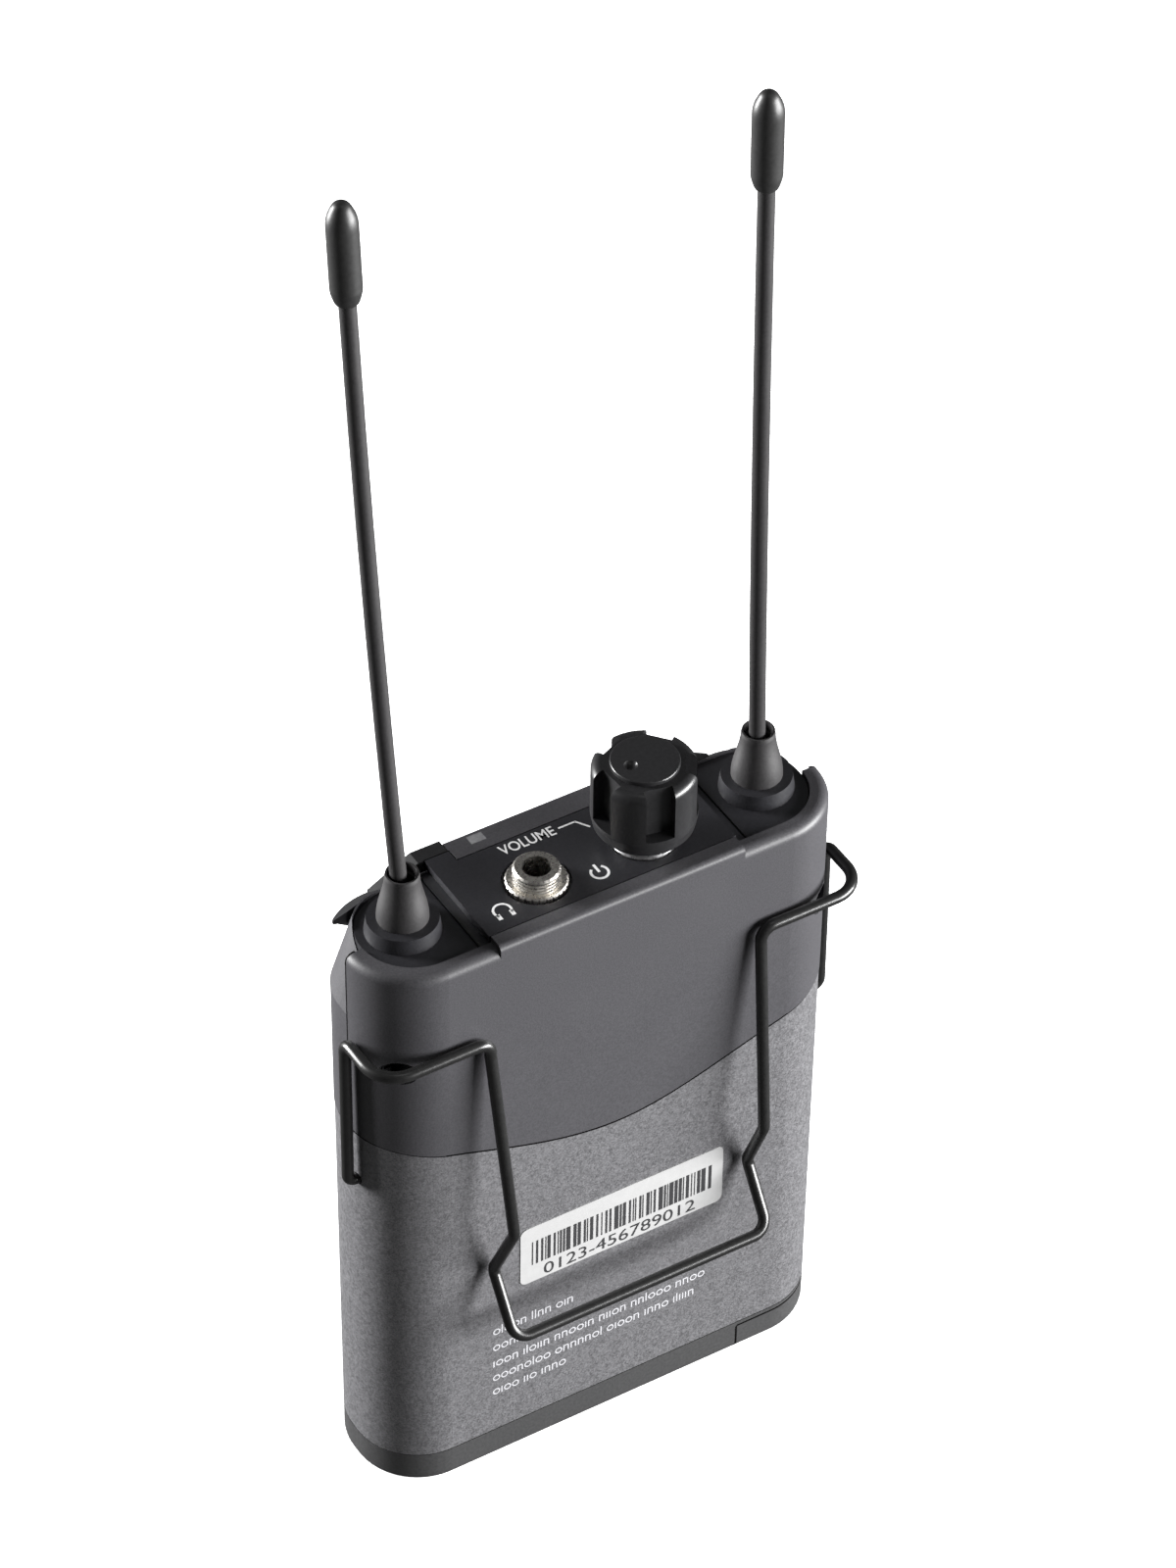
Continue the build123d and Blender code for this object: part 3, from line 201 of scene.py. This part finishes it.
def ink(name, colour, specular=0.5):
    """Screen-printed ink, a little uneven."""
    material, tree, shader = new_material(name)
    coat = noise(tree, 7000, detail=2)
    thin = [channel * 0.8 for channel in colour]
    tint = mix_colour(tree, remap(tree, coat, 0, 1, 0.25, 0.6), thin, colour)
    tree.links.new(tint, shader.inputs["Base Color"])
    set_inputs(shader, Roughness=0.6, Specular_IOR_Level=specular)
    bump(tree, shader, coat, 0.004 * MM)
    return material


def smoked_window(name):
    """Milky grey light guide."""
    material, tree, shader = new_material(name)
    haze = noise(tree, 900, detail=2)
    colour = mix_colour(tree, remap(tree, haze, 0, 1), (0.22, 0.22, 0.23), (0.34, 0.34, 0.35))
    tree.links.new(colour, shader.inputs["Base Color"])
    set_inputs(shader, Roughness=0.25, Transmission_Weight=0.25, Coat_Weight=0.5, Coat_Roughness=0.1)
    bump(tree, shader, haze, 0.01 * MM)
    return material


def dark_glass(name):
    """Polished dark window."""
    material, tree, shader = new_material(name)
    film = noise(tree, 60, detail=3)
    colour = mix_colour(tree, remap(tree, film, 0, 1), (0.006, 0.008, 0.012), (0.012, 0.015, 0.022))
    tree.links.new(colour, shader.inputs["Base Color"])
    tree.links.new(remap(tree, film, 0.04, 0.09), shader.inputs["Roughness"])
    set_inputs(shader, Coat_Weight=1.0, Coat_Roughness=0.03)
    return material


def cell_wrap(name):
    """Printed sleeve of a penlight cell: dark, with a pale band near one end."""
    material, tree, shader = new_material(name)
    where = tree.nodes.new("ShaderNodeTexCoord")
    split = tree.nodes.new("ShaderNodeSeparateXYZ")
    tree.links.new(where.outputs["Object"], split.inputs["Vector"])
    band = remap(tree, split.outputs["Z"], 0, 1, 0.0438, 0.044)
    fine = noise(tree, 3000)
    colour = mix_colour(tree, band, (0.05, 0.055, 0.065), (0.45, 0.42, 0.36))
    tree.links.new(colour, shader.inputs["Base Color"])
    tree.links.new(remap(tree, fine, 0.25, 0.4), shader.inputs["Roughness"])
    set_inputs(shader, Metallic=0.3)
    bump(tree, shader, fine, 0.006 * MM)
    return material


MATERIALS = {
    "case_plastic": moulded("case_plastic", (0.052, 0.051, 0.056), 0.46),
    "case_paint": flake_paint("case_paint", (0.150, 0.149, 0.156), 0.42),
    "band_plastic": moulded("band_plastic", (0.050, 0.050, 0.051), 0.42, grain=2600, depth=0.006 * MM),
    "knob_plastic": moulded("knob_plastic", (0.016, 0.016, 0.017), 0.34, grain=2200, depth=0.004 * MM),
    "antenna_rubber": moulded("antenna_rubber", (0.022, 0.021, 0.022), 0.52, grain=2600),
    "tip_rubber": moulded("tip_rubber", (0.020, 0.020, 0.020), 0.42, grain=1800, depth=0.008 * MM),
    "nickel": metal("nickel", (0.80, 0.77, 0.72), 0.27),
    "zinc": metal("zinc", (0.55, 0.55, 0.56), 0.30),
    "brass": metal("brass", (0.72, 0.56, 0.28), 0.28),
    "clip_wire": moulded("clip_wire", (0.012, 0.012, 0.012), 0.30, grain=1500, depth=0.010 * MM),
    "black_steel": metal("black_steel", (0.03, 0.03, 0.032), 0.35),
    "label_white": moulded("label_white", (0.39, 0.39, 0.39), 0.42, grain=900, depth=0.004 * MM, spread=0.03),
    "window_smoke": smoked_window("window_smoke"),
    "lens_dark": dark_glass("lens_dark"),
    "board_green": moulded("board_green", (0.015, 0.10, 0.04), 0.35, grain=1200, spread=0.3),
    "chip_black": moulded("chip_black", (0.02, 0.02, 0.02), 0.5),
    "module_white": moulded("module_white", (0.6, 0.6, 0.61), 0.45, grain=1500, spread=0.05),
    "cell_skin": cell_wrap("cell_skin"),
    "tray_plastic": moulded("tray_plastic", (0.03, 0.03, 0.032), 0.5),
    "button_rubber": moulded("button_rubber", (0.03, 0.03, 0.032), 0.55),
    "led_lens": moulded("led_lens", (0.6, 0.62, 0.58), 0.2, grain=1500, spread=0.05),
}
PRINT_WHITE = ink("print_white", (0.78, 0.78, 0.78))
PRINT_GREY = ink("print_grey", (0.46, 0.46, 0.48))
PRINT_BLACK = ink("print_black", (0.02, 0.02, 0.022))
# painted shade: near-black, barely glossy ink for the seam strips, standing for the shadow in the gaps
SEAM_SHADE_INK = ink("seam_shade_ink", (0.003, 0.003, 0.003), specular=0.05)
# darker, glossier copy of the case plastic for the top cap and antenna collars: partly their own tone, partly
# painted shade of their upward faces
CAP_PLASTIC_SHADED = moulded("cap_plastic_shaded", (0.018, 0.018, 0.021), 0.40, grain=3000, depth=0.008 * MM)

# edge softening for the carried-over solids: width in mm
SOFT_EDGES = {
    "top_cap": 0.18,
    "upper_back_cover": 0.2,
    "upper_front_cover": 0.2,
    "display_bezel": 0.15,
    "volume_knob": 0.32,
    "pot_nut": 0.1,
    "jack_nut": 0.06,
    "jack_ferrule": 0.05,
    "lower_housing": 0.12,
    "battery_door": 0.2,
    "bottom_cap": 0.1,
    "port_cover": 0.1,
    "antenna_collar_left": 0.2,
    "antenna_collar_right": 0.2,
    "antenna_boot_left": 0.12,
    "antenna_boot_right": 0.12,
}

slot_of = {part["node"]: part["material_slot"] for part in frame["record"]["subparts"]}
for node, thing in frame["nodes"].items():
    thing.data.materials.clear()
    thing.data.materials.append(MATERIALS[slot_of[node]])
    if node in SOFT_EDGES:
        soften = thing.modifiers.new("soft_edge", "BEVEL")
        soften.width = SOFT_EDGES[node] * MM
        soften.segments = 3
        soften.limit_method = "ANGLE"
        soften.angle_limit = math.radians(40)
        soften.harden_normals = True
# the top cap and antenna collars take the darker copy, partly painted shade of their upward faces
for node in ("top_cap", "antenna_collar_left", "antenna_collar_right"):
    frame["nodes"][node].data.materials[0] = CAP_PLASTIC_SHADED


# ---- mesh helpers ----
def add_object(name, mesh, material, body):
    mesh.materials.clear()
    mesh.materials.append(material)
    thing = bpy.data.objects.new(name, mesh)
    bpy.context.scene.collection.objects.link(thing)
    if body:
        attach(thing, body)
    return thing


def rounded_route(points, radii, step=8):
    """Points along straight runs, with an arc of the given radius in place of each inner corner."""
    route = [Vector(points[0])]
    for before, corner, after, radius in zip(points, points[1:], points[2:], radii):
        corner = Vector(corner)
        back = (Vector(before) - corner).normalized()
        ahead = (Vector(after) - corner).normalized()
        half = back.angle(ahead) / 2
        reach = radius / math.tan(half)
        centre = corner + (back + ahead).normalized() * radius / math.sin(half)
        start = corner + back * reach
        end = corner + ahead * reach
        first = start - centre
        last = end - centre
        turn = first.angle(last)
        axis = first.cross(last).normalized()
        count = max(3, int(math.degrees(turn) / step))
        for index in range(count + 1):
            route.append(centre + Matrix.Rotation(turn * index / count, 3, axis) @ first)
    route.append(Vector(points[-1]))
    return route


def divided(route, longest):
    """The route with extra points, so that no run is longer than the given length."""
    result = [route[0]]
    for start, end in zip(route, route[1:]):
        pieces = max(1, math.ceil((end - start).length / longest))
        result += [start.lerp(end, index / pieces) for index in range(1, pieces + 1)]
    return result


def tube_mesh(name, route, radius, sides=20):
    """Round tube along a route, with chamfered ends."""
    form = bmesh.new()
    tangents = []
    for index, point in enumerate(route):
        ahead = route[min(index + 1, len(route) - 1)]
        behind = route[max(index - 1, 0)]
        tangents.append((ahead - behind).normalized())
    side = tangents[0].orthogonal().normalized()
    sections = [(route[0], tangents[0], side, TUBE_END_SIZE)]
    for point, tangent in zip(route, tangents):
        side = (side - tangent * side.dot(tangent)).normalized()
        sections.append((point, tangent, side, 1.0))
    sections.append((route[-1], tangents[-1], side, TUBE_END_SIZE))
    sections[1] = (route[0] + tangents[0] * radius * TUBE_END_DEPTH, tangents[0], sections[1][2], 1.0)
    sections[-2] = (route[-1] - tangents[-1] * radius * TUBE_END_DEPTH, tangents[-1], side, 1.0)
    rings = []
    for point, tangent, across, size in sections:
        up = tangent.cross(across)
        ring = []
        for index in range(sides):
            angle = 2 * math.pi * index / sides
            offset = (across * math.cos(angle) + up * math.sin(angle)) * radius * size
            ring.append(form.verts.new(point + offset))
        rings.append(ring)
    for low, high in zip(rings, rings[1:]):
        for index in range(sides):
            after = (index + 1) % sides
            form.faces.new((low[index], low[after], high[after], high[index]))
    form.faces.new(list(reversed(rings[0])))
    form.faces.new(rings[-1])
    bmesh.ops.recalc_face_normals(form, faces=form.faces)
    for face in form.faces:
        face.smooth = len(face.verts) == 4
    mesh = bpy.data.meshes.new(name)
    form.to_mesh(mesh)
    form.free()
    return mesh


# ---- belt clip: one wire, which bends at the top of each leg ----
half_route = [
    (CLIP_SIDE_X - CLIP_TIP_DEPTH, CLIP_TIP_Y, CLIP_TIP_Z),
    (CLIP_SIDE_X, CLIP_TIP_Y, CLIP_TIP_Z),
    (CLIP_SIDE_X, CLIP_SIDE_Y, CLIP_TOP_Z),
    (CLIP_SIDE_X, CLIP_BACK_Y, CLIP_TOP_Z),
    (CLIP_TOP_X, CLIP_BACK_Y, CLIP_TOP_Z),
    (CLIP_TOP_X, CLIP_BACK_Y - 0.01, 75.4),
    (18.4, -15.1, 46.8),
    (CLIP_LEG_X, -10.75, 37.0),
    (CLIP_LEG_X, -16.2, 28.7),
]
half_radii = [1.1, 1.6, 4.2, 1.9, 3.0, 2.5, 1.6, 2.2]
mirrored = [(-x, y, z) for x, y, z in reversed(half_route)]
wire_points = [tuple(value * MM for value in point) for point in half_route + mirrored]
wire_radii = [radius * MM for radius in half_radii + half_radii[::-1]]
wire_route = divided(rounded_route(wire_points, wire_radii), 2 * MM)
wire_mesh = tube_mesh("belt_clip_wire", wire_route, WIRE_RADIUS)
wire = add_object("belt_clip_wire", wire_mesh, MATERIALS["clip_wire"], None)
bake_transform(wire)
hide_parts("belt_clip_arm_left", "belt_clip_arm_right", "belt_clip_spring")


# ---- printed marks ----
def extruded_outlines(name, outlines):
    """Closed outlines in the XY plane, filled and given the ink's thickness."""
    form = bmesh.new()
    for outline in outlines:
        low = [form.verts.new((x * MM, y * MM, 0)) for x, y in outline]
        high = [form.verts.new((x * MM, y * MM, PRINT_THICKNESS)) for x, y in outline]
        form.faces.new(high)
        form.faces.new(list(reversed(low)))
        for index in range(len(outline)):
            after = (index + 1) % len(outline)
            form.faces.new((low[index], low[after], high[after], high[index]))
    bmesh.ops.recalc_face_normals(form, faces=form.faces)
    mesh = bpy.data.meshes.new(name)
    form.to_mesh(mesh)
    form.free()
    return mesh


def bar(x, y, width, height):
    return [(x, y), (x + width, y), (x + width, y + height), (x, y + height)]


def band(points, width):
    """Outline of a line of the given width through some points."""
    left, right = [], []
    for index, (x, y) in enumerate(points):
        ahead = points[min(index + 1, len(points) - 1)]
        behind = points[max(index - 1, 0)]
        along = Vector((ahead[0] - behind[0], ahead[1] - behind[1])).normalized()
        left.append((x - along.y * width / 2, y + along.x * width / 2))
        right.append((x + along.y * width / 2, y - along.x * width / 2))
    return left + right[::-1]


def arc(x, y, radius, start, end, width, count=28):
    """Outline of part of a ring, from one angle to another in degrees."""
    points = []
    for index in range(count + 1):
        angle = math.radians(start + (end - start) * index / count)
        points.append((x + radius * math.cos(angle), y + radius * math.sin(angle)))
    return band(points, width)


def lettering(name, words, size, width, bold=0.0):
    """Mesh of generic words or digits, starting at the origin, drawn large and then scaled down."""
    curve = bpy.data.curves.new(name, "FONT")
    curve.body = words
    curve.offset = bold
    curve.extrude = 0.5
    curve.resolution_u = 4
    holder = bpy.data.objects.new(name, curve)
    bpy.context.scene.collection.objects.link(holder)
    bpy.context.view_layer.update()
    mesh = bpy.data.meshes.new_from_object(holder)
    bpy.data.objects.remove(holder)
    xs = [vertex.co.x for vertex in mesh.vertices]
    stretch = width * MM / (max(xs) - min(xs))
    scaled = Matrix.Diagonal((stretch, size * MM, PRINT_THICKNESS, 1))
    mesh.transform(scaled @ Matrix.Translation((-min(xs), 0, 0.5)))
    return mesh


def on_panel(mesh, x=0.0, y=0.0):
    """Lays a print on the control panel, reading along +X with its top towards +Y."""
    mesh.transform(Matrix.Translation((x * MM, y * MM, PANEL_TOP + PRINT_LIFT)))
    return mesh


def on_back(mesh, x=0.0, z=0.0, lift=0.0):
    """Stands a print on the drafted back face, reading along +X with its top towards +Z."""
    middle = (LABEL_LOW.z + LABEL_HIGH.z) / 2
    skin = (LABEL_LOW.y + LABEL_HIGH.y) / 2 + LABEL_TO_SKIN
    tilt = Matrix.Rotation(math.radians(90) + BACK_SLOPE, 4, "X")
    height = z * MM - middle
    place = Vector((x * MM, skin - math.tan(BACK_SLOPE) * height - lift, z * MM))
    mesh.transform(Matrix.Translation(place) @ tilt)
    return mesh


# ---- painted shade: fine black strips over the seams of the case, in place of the shadow inside each gap ----
def seam_edges(node, toward, lowest):
    """A shell's outer edges along a seam, and the place and outward direction of each of their ends."""
    shell = bmesh.new()
    shell.from_mesh(frame["nodes"][node].data)
    bmesh.ops.remove_doubles(shell, verts=shell.verts, dist=0.001 * MM)
    ends = {}
    runs = []
    for edge in shell.edges:
        middle = (edge.verts[0].co + edge.verts[1].co) / 2
        on_skin = abs(middle.x) > SKIN_X or abs(middle.y) > SKIN_Y
        if len(edge.link_faces) != 2 or middle.z < lowest or not on_skin:
            continue
        core = Vector((max(-CORE_X, min(CORE_X, middle.x)), 0, middle.z))
        for skin, rim in (edge.link_faces, reversed(edge.link_faces)):
            faces_out = skin.normal.dot(middle - core) > 0 and abs(skin.normal.dot(toward)) < 0.5
            if faces_out and rim.normal.dot(toward) > 0.8:
                runs.append([vertex.index for vertex in edge.verts])
                for vertex in edge.verts:
                    place, normal = ends.get(vertex.index, (vertex.co.copy(), Vector()))
                    ends[vertex.index] = (place, normal + skin.normal)
    shell.free()
    return ends, runs


def painted_seam_shade(name, node, toward, lowest, width, body):
    """Thin black strip along a shell's outer edge, over the gap to its neighbour: painted shade in place of
    the gap's shadow.
    """
    ends, runs = seam_edges(node, toward, lowest)
    form = bmesh.new()
    rails = {}
    for index, (place, normal) in ends.items():
        normal.normalize()
        across = (toward - normal * normal.dot(toward)).normalized()
        base = place + normal * SEAM_LIFT - across * SEAM_OVERLAP
        rails[index] = (form.verts.new(base), form.verts.new(base + across * width), normal)
    for first, second in runs:
        low, high, normal = rails[first]
        next_low, next_high, _ = rails[second]
        face = form.faces.new((low, next_low, next_high, high))
        face.normal_update()
        if face.normal.dot(normal) < 0:
            face.normal_flip()
    mesh = bpy.data.meshes.new(name)
    form.to_mesh(mesh)
    form.free()
    thing = add_object(name, mesh, SEAM_SHADE_INK, body)
    thicken = thing.modifiers.new("thickness", "SOLIDIFY")
    thicken.thickness = SEAM_DEPTH
    thicken.offset = -1


painted_seam_shade("housing_seam_shade", "lower_housing", Vector((0, 0, 1)), 52 * MM, 0.27 * MM, "housing")
painted_seam_shade("side_seam_shade", "upper_back_cover", Vector((0, 1, 0)), 61 * MM, 0.24 * MM, "housing")
painted_seam_shade("flap_seam_shade_top", "port_cover", Vector((0, 0, 1)), 1 * MM, 0.30 * MM, "port_cover")
painted_seam_shade("flap_seam_shade_side", "port_cover", Vector((-1, 0, 0)), 0.3 * MM, 0.30 * MM, "port_cover")


# control panel: the word over the knob's leader, and two symbols
volume_word = on_panel(lettering("volume_word", "VOLUME", 2.35, 7.7, bold=0.01), -8.85, 3.95)
add_object("volume_word", volume_word, PRINT_WHITE, "housing")

panel_marks = [band([(-0.56, 4.72), (1.87, 4.71)], 0.26), band([(1.8, 4.80), (3.0, 2.98)], 0.26)]
power_x, power_y = -0.23, -4.6
panel_marks.append(arc(power_x, power_y, 1.1, 128, 412, 0.34))
panel_marks.append(bar(power_x - 0.17, power_y + 0.05, 0.34, 1.5))
phones_x, phones_y = -13.9, -4.4
panel_marks.append(arc(phones_x, phones_y, 1.15, -42, 222, 0.3))
for side in (-1, 1):
    ear = phones_x + side * 0.92 - 0.27
    panel_marks.append(bar(ear, phones_y - 1.35, 0.54, 0.95))
symbols = on_panel(extruded_outlines("panel_symbols", panel_marks))
add_object("panel_symbols", symbols, PRINT_WHITE, "housing")

# label: bars of random widths, over plain digits
rng = random.Random(840)
bars = []
cursor = -12.7
while cursor < 13.7:
    thickness = rng.choice((0.16, 0.16, 0.3, 0.3, 0.46, 0.62))
    bars.append(bar(cursor, BAR_FOOT, min(thickness, 14.1 - cursor), 4.2))
    cursor += thickness + rng.choice((0.17, 0.17, 0.3, 0.45))
label_lift = 0.115 * MM
bar_mesh = extruded_outlines("label_bars", [[(x, z - BAR_MIDDLE) for x, z in outline] for outline in bars])
add_object("label_bars", on_back(bar_mesh, 0, BAR_MIDDLE, label_lift), PRINT_BLACK, "housing")
digits = on_back(lettering("label_digits", "0123-456789012", 2.85, 22.6), -10.9, 30.75, label_lift)
add_object("label_digits", digits, PRINT_BLACK, "housing")


# rows of small print under the label, as plain strokes that spell nothing
def small_print(x, baseline, word_lengths):
    """One row of letter-like strokes: rings, posts and arches, in words of the given lengths."""
    pen = 0.2
    tall, low = 1.55, 1.1
    marks = []
    for length in word_lengths:
        for _ in range(length):
            kind = rng.choice(("ring", "arch", "post", "short", "arch", "ring"))
            if kind == "ring":
                marks.append(arc(x + 0.5, baseline + low / 2, low / 2 - pen / 2, 0, 179, pen, 8))
                marks.append(arc(x + 0.5, baseline + low / 2, low / 2 - pen / 2, 180, 359, pen, 8))
                x += 1.2
            elif kind == "arch":
                marks.append(bar(x, baseline, pen, low))
                marks.append(bar(x + 0.65, baseline, pen, low - 0.15))
                marks.append(bar(x + pen, baseline + low - pen, 0.55, pen))
                x += 1.1
            else:
                marks.append(bar(x, baseline, pen, tall if kind == "post" else low))
                x += 0.45
        x += 0.55
    return marks


rows = (
    (23.1, (5, 4, 3)),
    (20.1, (7, 3, 6, 5, 6, 3)),
    (17.1, (4, 6, 6, 5, 6, 4)),
    (14.4, (8, 7, 5, 4, 6)),
    (11.8, (4, 3, 4)),
)
small_marks = []
for baseline, words in rows:
    small_marks += small_print(-18.3, baseline - SMALL_PRINT_MIDDLE, words)
small_mesh = extruded_outlines("small_print", small_marks)
small_mesh = on_back(small_mesh, 0, SMALL_PRINT_MIDDLE, 0.015 * MM)
add_object("small_print", small_mesh, PRINT_GREY, "housing")


# ---- floor, light and camera ----
def make_floor():
    mesh = bpy.data.meshes.new("floor")
    reach = 3.0
    corners = [(-reach, -reach, 0), (reach, -reach, 0), (reach, reach, 0), (-reach, reach, 0)]
    mesh.from_pydata(corners, [], [(0, 1, 2, 3)])
    floor = bpy.data.objects.new("floor", mesh)
    bpy.context.scene.collection.objects.link(floor)
    material, tree, shader = new_material("floor")
    grain = noise(tree, 40)
    tree.links.new(mix_colour(tree, grain, (0.88, 0.88, 0.88), (0.9, 0.9, 0.9)), shader.inputs["Base Color"])
    set_inputs(shader, Roughness=0.8, Emission_Color=(1, 1, 1, 1), Emission_Strength=0.95)
    # what the object sees of the floor is a darker grey card, so that its sides keep their contrast
    card = tree.nodes.new("ShaderNodeBsdfDiffuse")
    card.inputs["Color"].default_value = (0.08, 0.08, 0.08, 1)
    path = tree.nodes.new("ShaderNodeLightPath")
    choice = tree.nodes.new("ShaderNodeMixShader")
    tree.links.new(path.outputs["Is Camera Ray"], choice.inputs["Fac"])
    tree.links.new(card.outputs["BSDF"], choice.inputs[1])
    tree.links.new(shader.outputs["BSDF"], choice.inputs[2])
    tree.links.new(choice.outputs["Shader"], tree.nodes["Material Output"].inputs["Surface"])
    mesh.materials.append(material)


def softbox(name, azimuth, elevation, distance, size, watts, target=(0, 0, 0.09)):
    """Rectangular soft light that faces the object. Azimuth 0 is on the -Y side, 90 on the +X side."""
    across = math.radians(azimuth)
    up = math.radians(elevation)
    direction = Vector((math.sin(across) * math.cos(up), -math.cos(across) * math.cos(up), math.sin(up)))
    light = bpy.data.lights.new(name, "AREA")
    light.shape = "RECTANGLE"
    light.size, light.size_y = size
    light.energy = watts
    lamp = bpy.data.objects.new(name, light)
    lamp.location = Vector(target) + direction * distance
    lamp.rotation_euler = direction.to_track_quat("Z", "Y").to_euler()
    bpy.context.scene.collection.objects.link(lamp)


def make_world():
    world = bpy.data.worlds.new("studio")
    world.use_nodes = True
    world.node_tree.nodes["Background"].inputs["Color"].default_value = (1, 1, 1, 1)
    world.node_tree.nodes["Background"].inputs["Strength"].default_value = 0.09
    bpy.context.scene.world = world


def make_camera():
    """Camera behind and above the pack, turned by its azimuth, elevation and a slight roll."""
    azimuth = math.radians(-31.721)
    elevation = math.radians(42.39)
    roll = math.radians(0.806)
    distance = 0.758872
    target = Vector((0.000755, 0, 0.102093))
    back = Vector((
        math.sin(azimuth) * math.cos(elevation),
        -math.cos(azimuth) * math.cos(elevation),
        math.sin(elevation),
    ))
    right = (-back).cross(Vector((0, 0, 1))).normalized()
    up = right.cross(-back)
    right, up = right * math.cos(roll) + up * math.sin(roll), up * math.cos(roll) - right * math.sin(roll)
    data = bpy.data.cameras.new("camera")
    data.sensor_fit = "VERTICAL"
    data.sensor_height = 36
    data.lens = 143.59
    data.clip_start = 0.01
    camera = bpy.data.objects.new("camera", data)
    turn = Matrix((right, up, back)).transposed().to_4x4()
    camera.matrix_world = Matrix.Translation(target + back * distance) @ turn
    bpy.context.scene.collection.objects.link(camera)
    bpy.context.scene.camera = camera


make_floor()
make_world()
softbox("key", 50, 6, LIGHT_DISTANCE, (0.75, 0.35), 32.0)
softbox("rim", -138, 10, LIGHT_DISTANCE, (0.25, 0.5), 30.0)
softbox("top", 20, 78, LIGHT_DISTANCE, (0.3, 0.3), 0.35)
make_camera()
bpy.context.scene.view_settings.view_transform = "Standard"
